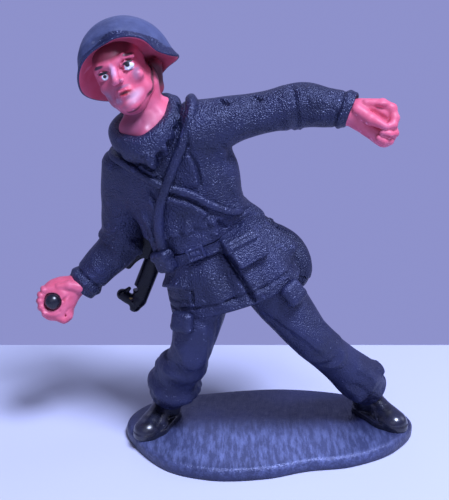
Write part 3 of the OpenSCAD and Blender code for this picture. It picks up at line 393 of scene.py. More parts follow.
class Skin:
    """A lofted skin: u runs along its rings, the angle round them, and D is how far each point is raised."""

    def __init__(self, ring, nu, na, power=2.0, loop=False, gain=1.0):
        self.ring, self.power, self.loop, self.gain = ring, power, loop, gain
        self.u = np.arange(nu) / nu if loop else np.linspace(0, 1, nu)
        self.a = np.arange(na) * 360.0 / na
        self.C, S, F = ring(self.u)
        ca, sa = (c[None, :, None] for c in self.round(self.a))
        self.P = self.C[:, None] + ca * S[:, None] + sa * F[:, None]
        self.N = self.normals(self.P)
        self.D = np.zeros((nu, na))

    def round(self, a):
        c, s = np.cos(np.radians(a)), np.sin(np.radians(a))
        e = 2 / self.power
        return np.sign(c) * np.abs(c) ** e, np.sign(s) * np.abs(s) ** e

    def normals(self, P):
        da = np.roll(P, -1, 1) - np.roll(P, 1, 1)
        du = (np.roll(P, -1, 0) - np.roll(P, 1, 0)) if self.loop else np.gradient(P, axis=0)
        n = np.cross(da, du)
        n /= np.maximum(np.linalg.norm(n, axis=-1), 1e-9)[..., None]
        if ((P - self.C[:, None]) * n).sum() < 0:
            n = -n
        return n

    def at(self, u, a):
        """Points of the bare skin, for arrays of places."""
        C, S, F = self.ring(np.atleast_1d(u))
        ca, sa = self.round(np.atleast_1d(a))
        return C + ca[:, None] * S + sa[:, None] * F

    def out(self, u, a):
        """Outward directions of the bare skin."""
        u, a = np.atleast_1d(np.asarray(u, float)), np.atleast_1d(np.asarray(a, float))
        da = self.at(u, a + 2) - self.at(u, a - 2)
        if self.loop:
            du = self.at(u + 0.004, a) - self.at(u - 0.004, a)
        else:
            du = self.at(np.minimum(u + 0.01, 1), a) - self.at(np.maximum(u - 0.01, 0), a)
        n = units(np.cross(da, du))
        flip = ((self.at(u, a) - self.ring(u)[0]) * n).sum(1) < 0
        n[flip] *= -1
        return n

    def raised(self, u, a):
        """How far the finished skin stands off the bare one."""
        nu, na = self.D.shape
        x = np.mod(np.atleast_1d(u), 1) * nu if self.loop else np.clip(np.atleast_1d(u), 0, 1) * (nu - 1)
        y = np.mod(np.atleast_1d(a), 360) / 360 * na
        i = x.astype(int) if self.loop else np.minimum(x.astype(int), nu - 2)
        j, s, t = y.astype(int), x - i, y - y.astype(int)
        i2, j, j2 = (i + 1) % nu, j % na, (j + 1) % na
        i = i % nu
        return mix(mix(self.D[i, j], self.D[i2, j], s), mix(self.D[i, j2], self.D[i2, j2], s), t)

    def fold(self, path, h, w, taper=0.25, w2=None, steep=None, n=48):
        """Raises, or with h below 0 sinks, the skin along a path of u, angle, u, angle and so on.

        On the side that steep points to the width is w, on the other side w2.
        """
        q = along(np.reshape(path, (-1, 2)), np.linspace(0, 1, n))
        Q = self.at(q[:, 0], q[:, 1])
        reach = 3.0 * max(w, w2 or w)
        lo, hi = Q.min(0) - reach, Q.max(0) + reach
        near = ((self.P > lo) & (self.P < hi)).all(-1)
        P = self.P[near]
        if not len(P):
            return
        d2 = ((P[:, None] - Q[None]) ** 2).sum(-1)
        i = d2.argmin(1)
        d = np.sqrt(d2[np.arange(len(P)), i])
        width = np.full(len(P), float(w))
        if w2 is not None:
            side = ((P - Q[i]) * np.asarray(steep, float)).sum(1)
            width = np.where(side > 0, w, w2)
        t = i / (n - 1)
        fade = smooth(np.minimum(t, 1 - t) / taper + 0.001) if taper else 1.0
        self.D[near] += h * self.gain * fade * np.exp(-(d / width) ** 2)

    def folds(self, rows):
        for row in rows:
            self.fold(*row)

    def all_round(self, count, start, path, h, w, taper=0, n=20):
        """The same fold again and again round the skin."""
        for k in range(count):
            self.fold(np.reshape(path, (-1, 2)) + V(0, start + k * 360 / count), h, w, taper, n=n)

    def push(self, rows, way, w):
        """Moves the bare skin by a vector near a path, fading over the width w."""
        q = along(rows, np.linspace(0, 1, 24))
        d2 = ((self.P[..., None, :] - self.at(q[:, 0], q[:, 1])) ** 2).sum(-1).min(-1)
        self.P = self.P + np.exp(-d2 / w ** 2)[..., None] * way
        self.N = self.normals(self.P)

    def rough(self, h, f, seed):
        self.D += h * noise(self.P, f, seed)

    def grid(self):
        return self.P + self.N * self.D[..., None]


def meld(s, t, reach, height):
    """Swells two skins where they meet, so that one flows into the other."""
    trees = [BVHTree.FromPolygons(v.tolist(), f) for v, f in (tube(s.grid()), tube(t.grid()))]
    for skin, tree in ((s, trees[1]), (t, trees[0])):
        g = skin.grid().reshape(-1, 3)
        d = np.full(len(g), float(reach))
        for i, point in enumerate(g.tolist()):
            hit = tree.find_nearest(point, reach)
            if hit[3] is not None:
                d[i] = hit[3]
        skin.D += height * ((1 - d / reach) ** 2).reshape(skin.D.shape)


def lip(grid, end, steps):
    """Adds rings that turn an edge inwards, from rows of scale and way along the axis in mm."""
    ring = grid[end]
    c = ring.mean(0)
    way = unit(c - grid[-4 if end else 3].mean(0))
    extra = [c + (ring - c) * s + way * o for s, o in steps]
    if end:
        return np.concatenate([grid, np.array(extra)])
    return np.concatenate([np.array(extra[::-1]), grid])


def band(points, outs, width, height, sink):
    """A strap along points: its flat back sunk a little into what it lies on."""
    way = units(np.gradient(points, axis=0))
    side = units(np.cross(way, outs))
    up = np.cross(side, way)
    a = np.radians(np.linspace(0, 180, 14))
    across = np.sign(np.cos(a)) * np.abs(np.cos(a)) ** 0.8 * width / 2
    across = np.append(across, [-width * 0.48, width * 0.48])
    high = np.append(np.sin(a) ** 0.8 * height, [-sink, -sink])
    return points[:, None] + across[:, None] * side[:, None] + high[:, None] * up[:, None]


# Materials


def fill(tree, socket, value):
    """Sets a socket to a number or a colour, or links it to another socket."""
    if isinstance(value, tuple):
        socket.default_value = (*value, 1)
    elif isinstance(value, (int, float)):
        socket.default_value = value
    else:
        tree.links.new(value, socket)


class Nodes:
    def __init__(self, name):
        self.mat = bpy.data.materials.new(name)
        self.mat.use_nodes = True
        self.t = self.mat.node_tree
        self.b = self.t.nodes["Principled BSDF"]
        self.co = self.t.nodes.new("ShaderNodeTexCoord").outputs["Object"]
        self.sharp = self.t.nodes.new("ShaderNodeNewGeometry").outputs["Pointiness"]

    def new(self, kind, values, **kw):
        """A node with its inputs filled in."""
        n = self.t.nodes.new(kind)
        for k, v in kw.items():
            setattr(n, k, v)
        for place, value in values.items():
            fill(self.t, n.inputs[place], value)
        return n

    def scaled(self, s):
        m = self.new("ShaderNodeMapping", {"Vector": self.co})
        m.inputs["Scale"].default_value = s
        return m.outputs["Vector"]

    def noise(self, scale, detail=3, rough=0.55, vector=None):
        values = {"Scale": scale, "Detail": detail, "Roughness": rough, "Vector": vector or self.co}
        return self.new("ShaderNodeTexNoise", values).outputs["Fac"]

    def ramp(self, fac, lo, hi, a=0.0, b=1.0):
        values = {"Value": fac, "From Min": lo, "From Max": hi, "To Min": a, "To Max": b}
        return self.new("ShaderNodeMapRange", values).outputs["Result"]

    def math(self, op, a, b):
        return self.new("ShaderNodeMath", {0: a, 1: b}, operation=op).outputs[0]

    def times(self, a, b):
        return self.math("MULTIPLY", a, b)

    def paint(self, base, colour, fac):
        return self.new("ShaderNodeMix", {0: fac, 6: base, 7: colour}, data_type="RGBA").outputs[2]

    def spot(self, at, radii, soft=0.25, basis=np.eye(3), turn=0.0):
        """1 inside an ellipsoid, given in millimetres in the frame of the basis, 0 outside."""
        r = Matrix(basis.tolist()) @ Matrix.Rotation(rad(turn), 3, "Y")
        m = self.new("ShaderNodeMapping", {"Vector": self.co}, vector_type="TEXTURE")
        m.inputs["Location"].default_value = [c * MM for c in at]
        m.inputs["Rotation"].default_value = r.to_euler()
        m.inputs["Scale"].default_value = [c * MM for c in radii]
        length = self.new("ShaderNodeVectorMath", {0: m.outputs[0]}, operation="LENGTH")
        return self.ramp(length.outputs["Value"], 1 + soft / 2, 1 - soft / 2)

    def edges(self):
        """Higher on sharp outer edges, where paint rubs thin."""
        return self.ramp(self.sharp, 0.52, 0.6)

    def bump(self, height, strength, distance, normal=None):
        values = {"Strength": strength, "Distance": distance * MM, "Height": height}
        if normal is not None:
            values["Normal"] = normal
        return self.new("ShaderNodeBump", values).outputs["Normal"]

    def done(self, colour, rough, normal, coat=0.0, spec=0.5):
        for name, value in (("Base Color", colour), ("Roughness", rough), ("Normal", normal),
                            ("Coat Weight", coat), ("Coat Roughness", 0.25), ("Specular IOR Level", spec)):
            fill(self.t, self.b.inputs[name], value)
        return self.mat


VIOLET = (0.62, 0.67, 1.0, 1)
DUST, STROKE_HIGHLIGHT = (0.34, 0.37, 0.6), (0.15, 0.18, 0.38)


def dark_plastic(name, dark, light, rough=0.4, grain=0.26, brushed_and_lit=False, wear=0.35):
    """Moulded plastic with a pebbled skin: fine bumps, cloudy colour, rubbed edges and specks of dust, and on
    the base pale brushed strokes across its front as a painted highlight.
    """
    n = Nodes(name)
    colour = n.paint(dark, light, n.ramp(n.noise(160, 4), 0.35, 0.7))
    colour = n.paint(colour, tuple(c * 1.9 + 0.012 for c in light), n.times(n.edges(), wear))
    specks = n.ramp(n.noise(2100, 1, 0.5), 0.755, 0.79)
    colour = n.paint(colour, DUST, n.times(specks, 0.2 if brushed_and_lit else 0.6))
    height = n.math("ADD", n.noise(4200, 1, 0.5), n.times(n.noise(1700, 2), 0.45))
    normal = n.bump(height, 1.0, grain)
    if brushed_and_lit:
        # pale strokes towards the front edge, drawn front to back, whose pale colour is a painted highlight
        # where light falls on the front of the base
        stroke = n.ramp(n.noise(1.0, 3, 0.65, n.scaled((1500, 260, 1500))), 0.42, 0.66)
        stroke = n.math("ADD", 0.35, n.times(stroke, 0.65))
        # where the painted highlight lies: the front of the base
        place = n.spot((-1.0, -7.2, 2.2), (23, 7.0, 1.6), 1.0)
        colour = n.paint(colour, STROKE_HIGHLIGHT, n.times(n.times(stroke, place), 0.95))
        normal = n.bump(stroke, 0.8, 0.1, normal)
    n.b.inputs["Specular Tint"].default_value = VIOLET
    return n.done(colour, n.ramp(n.noise(900, 3), 0.3, 0.7, rough - 0.08, rough + 0.1), normal, spec=0.8)


DARK, LIGHT = (0.0035, 0.0045, 0.019), (0.013, 0.0155, 0.055)
m_jacket = dark_plastic("jacket_plastic", DARK, LIGHT)
m_cloth = dark_plastic("trouser_plastic", (0.0045, 0.0055, 0.023), (0.016, 0.019, 0.064), 0.44, 0.16)
m_strap = dark_plastic("strap_plastic", DARK, LIGHT, rough=0.38, grain=0.2, wear=0.5)
m_base = dark_plastic("base_plastic", (0.0052, 0.006, 0.025), (0.0135, 0.0165, 0.058), grain=0.08,
                      brushed_and_lit=True, wear=0.0)


def gloss_black(name, spots=(), tone=(0.008, 0.009, 0.018), coat=0.3, spec=0.4):
    n = Nodes(name)
    colour = n.paint((0.003, 0.003, 0.007), tone, n.ramp(n.noise(400, 3), 0.4, 0.75))
    for at, r, tint in spots:
        colour = n.paint(colour, tint, n.spot(at, (r, r, r)))
    normal = n.bump(n.noise(900, 2), 0.5, 0.04)
    return n.done(colour, n.ramp(n.noise(600, 2), 0.3, 0.7, 0.2, 0.34), normal, coat=coat, spec=spec)


m_boot = gloss_black("boot_gloss", tone=(0.014, 0.016, 0.04), spec=0.6)
m_black = gloss_black("gun_gloss", [((-23.1, 5.3, 23.1), 0.42, (0.62, 0.42, 0.12))], coat=0.05, spec=0.2)
m_ball = gloss_black("grenade_gloss", coat=0.35)


def helmet_paint():
    n = Nodes("helmet_paint")
    colour = n.paint((0.04, 0.05, 0.12), (0.075, 0.092, 0.20), n.ramp(n.noise(260, 5, 0.65), 0.35, 0.7))
    colour = n.paint(colour, (0.2, 0.22, 0.31), n.times(n.edges(), 0.5))
    normal = n.bump(n.noise(1700, 3), 0.8, 0.1)
    return n.done(colour, n.ramp(n.noise(800, 3), 0.3, 0.7, 0.42, 0.6), normal)


m_helmet = helmet_paint()
PINK, HOLLOW_SHADE, RIDGE_HIGHLIGHT = (0.68, 0.1, 0.175), (0.33, 0.02, 0.045), (0.84, 0.34, 0.48)


def skin_paint(name, spots=()):
    """Pink paint, with painted shade making it darker red in the hollows and a painted highlight making it
    paler on the sharp ridges.

    Spots are rows of a place, three radii, a turn, a softness, a colour and its strength.
    """
    n = Nodes(name)
    colour = n.paint(PINK, (0.74, 0.15, 0.25), n.ramp(n.noise(420, 4), 0.35, 0.7))
    # painted shade in the hollows and painted highlight on the ridges
    colour = n.paint(colour, HOLLOW_SHADE, n.times(n.ramp(n.sharp, 0.49, 0.42), 0.8))
    colour = n.paint(colour, RIDGE_HIGHLIGHT, n.times(n.ramp(n.sharp, 0.53, 0.62), 0.55))
    for at, radii, turn, soft, tint, much in spots:
        colour = n.paint(colour, tint, n.times(n.spot(at, radii, soft, HEAD, turn), much))
    normal = n.bump(n.noise(700, 3), 0.4, 0.04)
    return n.done(colour, n.ramp(n.noise(700, 2), 0.3, 0.7, 0.42, 0.58), normal)


m_skin = skin_paint("hand_paint")

# Base

OUTLINE = [[0.5, 0.09], [0.42, -0.18], [0.27, -0.34], [0.115, -0.393], [-0.03, -0.474], [-0.21, -0.485],
           [-0.375, -0.345], [-0.5, 0.04], [-0.41, 0.335], [-0.17, 0.46], [0.1, 0.5], [0.375, 0.37]]


def make_base():
    m = 260
    u = np.arange(m) / m
    edge, ahead, behind = (around(OUTLINE, u + du) * V(BASE_LEN, BASE_DEPTH) for du in (0, 0.004, -0.004))
    way = units(ahead - behind)
    inward = np.stack([-way[:, 1], way[:, 0]], 1)
    if ((edge + inward) ** 2).sum() > (edge ** 2).sum():
        inward = -inward
    # the underside's chamfer, the wall, the round of the rim and the top
    rows = [(edge + inward * 0.22, 0.0), (edge + inward * 0.03, 0.18)]
    rows += [(edge, z) for z in np.linspace(0.45, BASE_THICK - BASE_ROUND, 4)]
    for a in np.radians([15, 30, 45, 60, 75, 90]):
        high = BASE_THICK - BASE_ROUND + BASE_ROUND * sin(a)
        rows.append((edge + inward * BASE_ROUND * (1 - cos(a)), high))
    top = len(rows)
    inner = edge + inward * BASE_ROUND
    rows += [(inner * s, BASE_THICK) for s in np.linspace(0.985, 0.02, 70)]
    grid = np.array([np.column_stack([xy, np.full(m, z)]) for xy, z in rows])
    flat = grid[top:]
    strokes = noise(flat * V(1, 0.22, 1), 1.1, 3) * 0.05 + noise(flat * V(1, 0.3, 1), 2.3, 5) * 0.035
    flat[..., 2] += smooth(np.linspace(0, 6, len(flat)))[:, None] * (strokes - 0.06)
    add_loft("moulded_base", grid, ["base"], m_base)


make_base()


# Boots


def boot_field(q):
    """Heel at -X, toe at +X, sole on Z = 0."""
    heel = -0.27 * BOOT_LEN
    toe = heel + BOOT_LEN

    def flat(p, a, b, ra, rb):
        return rod(p * V(1, 1, 0), (a, 0, 0), (b, 0, 0), ra, rb)
    sole = join(flat(q, heel + 2.05, heel + 7.4, 2.05, 2.6), flat(q, heel + 7.4, toe - 2.1, 2.6, 2.1), 0.3)
    sole = np.maximum(sole, np.abs(q[:, 2] - 0.42) - 0.42) - 0.03
    shaft = rod(q, (-0.3, 0, 2.2), (-0.1, 0, 5.4), 2.15, 2.0)
    heel_cap = oval(q, (-0.7, 0, 1.7), (2.3, 2.05, 2.3))
    instep = rod(q, (0.6, 0, 2.9), (4.6, 0, 1.5), 1.75, 1.6)
    vamp = oval(q, (4.6, 0, 0.9), (3.4, 2.3, 1.95))
    cap = oval(q, (5.9, 0, 0.9), (2.2, 2.15, 1.75))
    d = join(join(shaft, heel_cap, 0.7), join(instep, vamp, 0.8), 0.7)
    d = join(d, cap - 0.06, 0.25)
    d = np.maximum(d, 0.75 - q[:, 2])
    for x in (1.5, 2.3, 3.1):
        d = join(d, rod(q, (x, -0.7, 4.55 - 0.42 * x), (x, 0.7, 4.55 - 0.42 * x), 0.2, 0.2), 0.15)
    for y in (-2.6, 2.6):
        d = carve(d, rod(q, (4.3, y, 1.0), (4.05, 0, 3.2), 0.13, 0.13), 0.12)
    d = carve(d, chain(q, [(2.9, -2.3, 1.2), (3.2, 0, 3.25), (2.9, 2.3, 1.2)], 0.1), 0.25)
    return join(d, sole, 0.12)


for side, ankle, turn in (("right", right_ankle, -118), ("left", left_ankle, -52)):
    at = V(ankle[0] - (0.5 if side == "right" else 0), ankle[1], BASE_THICK)
    verts, faces = nets(boot_field, (-3.4, -2.9, -0.2), (8.7, 2.9, 6.6), 0.17)
    verts = at + verts @ turned(0, 0, turn).T
    add_piece(side + "_army_boot", verts, faces, [side + "_boot"], m_boot)


# Trousers

def leg_stations(hip, knee, ankle):
    return limb([(hip, THIGH * 1.06), (mix(hip, knee, 0.45), THIGH), (knee, KNEE * 1.03),
                 (mix(knee, ankle, 0.42), KNEE), (mix(knee, ankle, 0.8), CUFF),
                 (mix(knee, ankle, 1.02), CUFF * 0.84)])


right_leg = Skin(limb_ring(leg_stations(right_hip, right_knee, right_ankle)), 130, 110, gain=1.35)
left_leg = Skin(limb_ring(leg_stations(left_hip, left_knee, left_ankle)), 130, 110, gain=1.35)


LEG_PLEAT = [0.9, 0, 0.95, 4, 1.0, 0]


def dress_legs():
    right_leg.folds([
        ([0.70, 330, 0.80, 0, 0.88, 40], 0.45, 1.5, 0.3),
        ([0.50, 355, 0.60, 0, 0.70, 0], 0.55, 1.6),
        ([0.60, 165, 0.62, 182, 0.61, 200], -0.85, 1.1),
        ([0.62, 350, 0.70, 350, 0.76, 5], 0.35, 1.0),
        ([0.42, 60, 0.46, 100, 0.44, 140], 0.22, 0.35, 0.25, 1.3, DOWN),
        ([0.50, 100, 0.54, 65, 0.56, 30], 0.25, 0.4, 0.25, 1.2, UP),
        ([0.47, 50, 0.50, 80, 0.50, 120], -0.18, 0.45),
        ([0.36, 20, 0.40, 50, 0.42, 80], 0.2, 0.35, 0.25, 1.0, DOWN),
        ([0.22, 100, 0.34, 120, 0.48, 150], 0.25, 0.4, 0.25, 1.3, LEFT),
        ([0.16, 130, 0.28, 150, 0.40, 175], -0.22, 0.5),
        ([0.60, 120, 0.70, 130, 0.82, 120], 0.25, 0.9),
        ([0.76, 40, 0.80, 80, 0.79, 125], 0.3, 0.35, 0.25, 1.3, DOWN),
        ([0.84, 60, 0.85, 95, 0.82, 140], -0.2, 0.35),
        ([0.87, 150, 0.84, 190, 0.85, 230], 0.3, 0.35, 0.25, 1.2, DOWN),
        ([0.5, 230, 0.54, 270, 0.52, 310], 0.3, 0.4, 0.25, 1.2, DOWN),
        ([0.2, 230, 0.3, 260, 0.34, 300], 0.25, 0.4, 0.25, 1.4, DOWN),
    ])
    right_leg.all_round(9, 14, LEG_PLEAT, -0.16, 0.4, 0.4, 16)
    right_leg.rough(0.07, 0.35, 11)
    left_leg.folds([
        ([0.40, 30, 0.46, 70, 0.48, 120], 0.22, 0.35, 0.25, 1.3, DOWN),
        ([0.50, 60, 0.53, 110, 0.50, 150], 0.25, 0.4, 0.25, 1.2, UP),
        ([0.48, 50, 0.50, 90, 0.49, 130], -0.15, 0.5),
        ([0.20, 60, 0.34, 90, 0.46, 100], 0.3, 0.45, 0.25, 1.6, RIGHT),
        ([0.12, 40, 0.24, 60, 0.36, 70], -0.2, 0.5),
        ([0.66, 60, 0.76, 70, 0.86, 62], 0.3, 0.5, 0.25, 1.3, LEFT),
        ([0.68, 85, 0.78, 92, 0.86, 84], -0.18, 0.5),
        ([0.62, 120, 0.74, 130, 0.84, 118], 0.28, 0.5, 0.25, 1.3, RIGHT),
        ([0.86, 150, 0.87, 185, 0.84, 215], 0.45, 0.35, 0.25, 1.3, DOWN),
        ([0.80, 40, 0.83, 80, 0.80, 130], 0.25, 0.4, 0.25, 1.2, DOWN),
        ([0.84, 0, 0.82, -30, 0.84, -70], 0.3, 0.4, 0.25, 1.2, DOWN),
        ([0.30, 150, 0.42, 170, 0.54, 176], 0.25, 0.8),
        ([0.5, 230, 0.54, 270, 0.52, 310], 0.3, 0.4, 0.25, 1.2, DOWN),
        ([0.24, 230, 0.32, 260, 0.36, 300], 0.25, 0.4, 0.25, 1.4, DOWN),
    ])
    left_leg.all_round(9, 5, LEG_PLEAT, -0.16, 0.4, 0.4, 16)
    left_leg.rough(0.07, 0.35, 12)


dress_legs()
for side, skin in (("right", right_leg), ("left", left_leg)):
    grid = lip(skin.grid(), -1, [(0.96, 0.16), (0.88, 0.2), (0.78, 0.05), (0.7, -0.3)])
    add_loft(side + "_trouser_cloth", grid, [side + "_trouser_leg"], m_cloth)


def pocket(name, skin, u, a, width, height, sunk, seed):
    at = skin.at(u, a)[0]
    out = skin.out(u, a)[0]
    side = unit(np.cross(out, skin.at(u + 0.01, a)[0] - at))
    up = np.cross(side, out)

    def field(q):
        p = local(q, at, side, up)
        p = p + V(0, 1, 0) * (0.05 * (p[:, :1] ** 2))
        d = block(p, (0, 0.3 + sunk, 0), (width / 2, 0.95, height / 2), 0.9)
        flap = block(p, (0, 0.15 + sunk, height * 0.3), (width * 0.52, 1.0, height * 0.24), 0.75)
        ends = [(x * width, sunk - 0.75, height * 0.03) for x in (-0.6, 0.6)]
        d = carve(d, chain(p, ends, 0.14), 0.2)
        d = join(d, flap, 0.18)
        d = join(d, oval(p, (0, sunk - 0.85, height * 0.12), (0.36, 0.25, 0.36)), 0.12)
        return d + 0.05 * noise(q, 0.7, seed)
    middle = at + out * 0.3
    add_sculpt(name + "_pouch", field, middle - 4.2, middle + 4.2, 0.17, [name], m_cloth)


pocket("right_thigh_pocket", right_leg, 0.25, 56, 3.7, 3.2, 0.35, 21)
pocket("left_thigh_pocket", left_leg, 0.13, 126, 3.6, 3.4, 1.15, 22)

# Jacket

trunk = Skin(trunk_ring, 170, 260, 2.3, gain=1.4)
# the left hip swells out over the bag that hangs there
trunk.push([[0.33, -12], [0.27, -9], [0.2, -6], [0.14, -6]], V(3.9, 0.2, 0.5), 2.7)


def dress_trunk():
    trunk.fold([0.42, 2, 0.52, 0, 0.62, 4], 0.35, 2.4)
    # skirt: hem band, front split, flared folds and the pocket flap on its right
    trunk.all_round(12, 0, [0.045, -3, 0.045, 15, 0.045, 33], -0.28, 0.2, n=24)
    trunk.folds([
        ([0.25, 69, 0.15, 72, 0.05, 75, 0.0, 76], -0.6, 0.3, 0.06),
        ([0.24, 65, 0.15, 68, 0.0, 71], 0.35, 0.35, 0.1, 1.6, RIGHT),
        ([0.22, 96, 0.12, 97, 0.0, 98], 0.35, 1.5, 0.2),
        ([0.22, 35, 0.12, 30, 0.0, 28], 0.3, 1.5, 0.2),
        ([0.2, 84, 0.1, 86, 0.0, 87], -0.3, 0.9, 0.2),
    ])
    for a in (205, 232, 262, 290, 318, 345):
        trunk.fold([0.24, a, 0.12, a + 3, 0.0, a + 5], 0.35, 1.3, 0.2)
        trunk.fold([0.22, a + 13, 0.1, a + 15, 0.0, a + 17], -0.25, 0.7, 0.2)
    trunk.folds([
        ([0.15, 172, 0.165, 144, 0.145, 120], 0.6, 0.22, 0.1, 1.2, DOWN),
        ([0.14, 118, 0.10, 120, 0.065, 123], -0.4, 0.22, 0.15),
        ([0.09, 170, 0.09, 140, 0.075, 124], -0.2, 0.3, 0.15),
        # the blouse hangs over the belt
        ([0.262, 44, 0.26, 75, 0.262, 115], -0.3, 0.35, 0.15, 0.8, UP),
        ([0.345, 55, 0.335, 85, 0.34, 125], 0.55, 0.42, 0.2, 1.9, DOWN),
        ([0.345, 150, 0.335, 190, 0.345, 235], 0.4, 0.45, 0.2, 1.6, DOWN),
        ([0.345, 245, 0.335, 285, 0.345, 330], 0.45, 0.45, 0.2, 1.6, DOWN),
        # front panel under the haversack strap
        ([0.575, 97, 0.545, 88, 0.515, 79, 0.468, 67], 0.6, 0.22, 0.08, 1.5, UP),
        ([0.47, 67, 0.42, 63, 0.36, 67], 0.4, 0.28, 0.15, 1.3, LEFT),
        ([0.44, 62, 0.39, 55, 0.35, 48], -0.25, 0.35),
        ([0.50, 86, 0.44, 92, 0.38, 96], 0.22, 0.8, 0.3),
        # lapel crease, chest and shoulder folds
        ([0.69, 62, 0.64, 62, 0.60, 64, 0.555, 68], -0.35, 0.2, 0.12),
        ([0.69, 65, 0.62, 66.5, 0.56, 71], 0.3, 0.3, 0.15, 1.3, LEFT),
        ([0.62, 111, 0.58, 110, 0.545, 110], -0.3, 0.22),
        ([0.60, 114, 0.55, 113, 0.51, 114], 0.3, 0.25, 0.25, 0.9, LEFT),
        ([0.60, 97, 0.575, 102, 0.55, 109], 0.22, 0.3, 0.25, 0.8, UP),
        ([0.56, 135, 0.49, 132, 0.42, 140], 0.3, 0.35, 0.25, 1.1, LEFT),
        ([0.52, 150, 0.44, 150, 0.37, 158], -0.25, 0.45),
        ([0.71, 108, 0.68, 103, 0.645, 95], 0.45, 0.25, 0.15, 0.8, UP),
        ([0.70, 40, 0.66, 30, 0.60, 24], 0.3, 0.5, 0.25, 1.3, DOWN),
        ([0.72, 20, 0.64, 12, 0.56, 14], -0.25, 0.6),
        ([0.55, 30, 0.47, 20, 0.40, 22], 0.25, 0.5, 0.25, 1.4, DOWN),
        ([0.47, 350, 0.42, 12, 0.36, 34], 0.3, 0.4, 0.25, 1.4, DOWN),
        ([0.78, 66, 0.74, 60, 0.70, 50], 0.18, 0.4, 0.25, 1.2, DOWN),
        # back: a yoke seam and folds that run from the shoulder blades to the waist
        ([0.72, 215, 0.70, 250, 0.70, 290, 0.72, 325], -0.2, 0.22, 0.1),
        ([0.68, 270, 0.52, 268, 0.38, 270], -0.25, 0.5, 0.2),
        ([0.64, 240, 0.5, 246, 0.38, 256], 0.35, 0.5, 0.2, 1.4, RIGHT),
        ([0.64, 300, 0.5, 296, 0.38, 288], 0.35, 0.5, 0.2, 1.4, LEFT),
        ([0.56, 215, 0.46, 228, 0.37, 236], 0.3, 0.5, 0.2, 1.2, DOWN),
        ([0.56, 328, 0.46, 316, 0.37, 308], 0.3, 0.5, 0.2, 1.2, DOWN),
    ])
    trunk.rough(0.08, 0.3, 1)
    trunk.rough(0.03, 0.9, 2)


dress_trunk()

# Collar

# rows of places across, up and to the front, in neck widths, and the roll's thickness there
COLLAR = [[0.7, 0.1, 0.14, 0.8], [0.48, -0.2, 0.68, 0.85], [-0.15, -0.44, 0.86, 0.98],
          [-0.66, -0.28, 0.56, 1], [-0.82, 0, 0, 0.95], [-0.58, 0.14, -0.5, 0.85],
          [0, 0.22, -0.68, 0.8], [0.48, 0.22, -0.42, 0.8]]
COLLAR_ROLL, COLLAR_FLARE = 2.2, 0.35


def collar_ring(u):
    s = around(COLLAR, u)
    out = units(s[:, 0:1] * trunk_across + s[:, 2:3] * FRONT)
    a = units(trunk_up + COLLAR_FLARE * out)
    b = units(out - COLLAR_FLARE * trunk_up)
    c = neck_root + NECK_W * (s[:, 0:1] * trunk_across + s[:, 1:2] * trunk_up + s[:, 2:3] * FRONT)
    return c, COLLAR_ROLL * s[:, 3:4] * 1.15 * a, COLLAR_ROLL * s[:, 3:4] * 0.85 * b


collar = Skin(collar_ring, 170, 80, loop=True, gain=1.5)


def dress_collar():
    collar.folds([
        # deep pits and gathers low on the front, smooth at the throat
        ([0.205, 98, 0.215, 122, 0.225, 150], -0.8, 0.45, 0.3),
        ([0.155, 92, 0.165, 112, 0.175, 135], -0.7, 0.42, 0.3),
        ([0.19, 80, 0.185, 115, 0.20, 160], 0.35, 0.4, 0.3),
        ([0.25, 100, 0.255, 130, 0.25, 165], 0.3, 0.5, 0.3),
        ([0.24, 70, 0.26, 110, 0.27, 160], 0.35, 0.5, 0.3, 1.3, DOWN),
        ([0.30, 120, 0.34, 145, 0.40, 160], -0.25, 0.35, 0.3),
        ([0.12, 60, 0.11, 100, 0.13, 150], -0.35, 0.35, 0.3),
        ([0.08, 40, 0.06, 90, 0.08, 140], 0.3, 0.5, 0.3),
        ([0.02, 30, 0.01, 80, 0.03, 130], -0.3, 0.4, 0.3),
        ([0.36, 60, 0.40, 90, 0.46, 110], -0.2, 0.5, 0.3),
    ])
    for u, h in ((0.55, -0.3), (0.63, 0.3), (0.70, -0.3), (0.78, 0.3), (0.86, -0.3), (0.93, 0.25)):
        collar.fold([u, 20, u + 0.01, 80, u - 0.01, 140], h, 0.45, 0.3)
    collar.rough(0.1, 0.5, 4)


dress_collar()
add_loft("cowl_collar", collar.grid(), ["collar"], m_jacket, closed=True)

# Sleeves

def sleeve(shoulder, elbow, wrist, start, first):
    return Skin(limb_ring(limb([
        (shoulder - start * unit(elbow - shoulder), first),
        (mix(shoulder, elbow, 0.2), mix(first, SLEEVE, 0.5)),
        (mix(shoulder, elbow, 0.6), SLEEVE * 0.92), (elbow, SLEEVE),
        (mix(elbow, wrist, 0.5), mix(SLEEVE, SLEEVE_END, 0.6)), (wrist, SLEEVE_END)])), 120, 96)


right_sleeve = sleeve(right_shoulder, right_elbow, right_wrist, SLEEVE * 0.12, SLEEVE * 0.84)
left_sleeve = sleeve(left_shoulder, left_elbow, left_wrist, SLEEVE * 0.4, SLEEVE * 1.1)


def cuff_seam(skin, u, h, w):
    skin.all_round(9, 0, [u, -4, u, 20, u, 44], h, w)


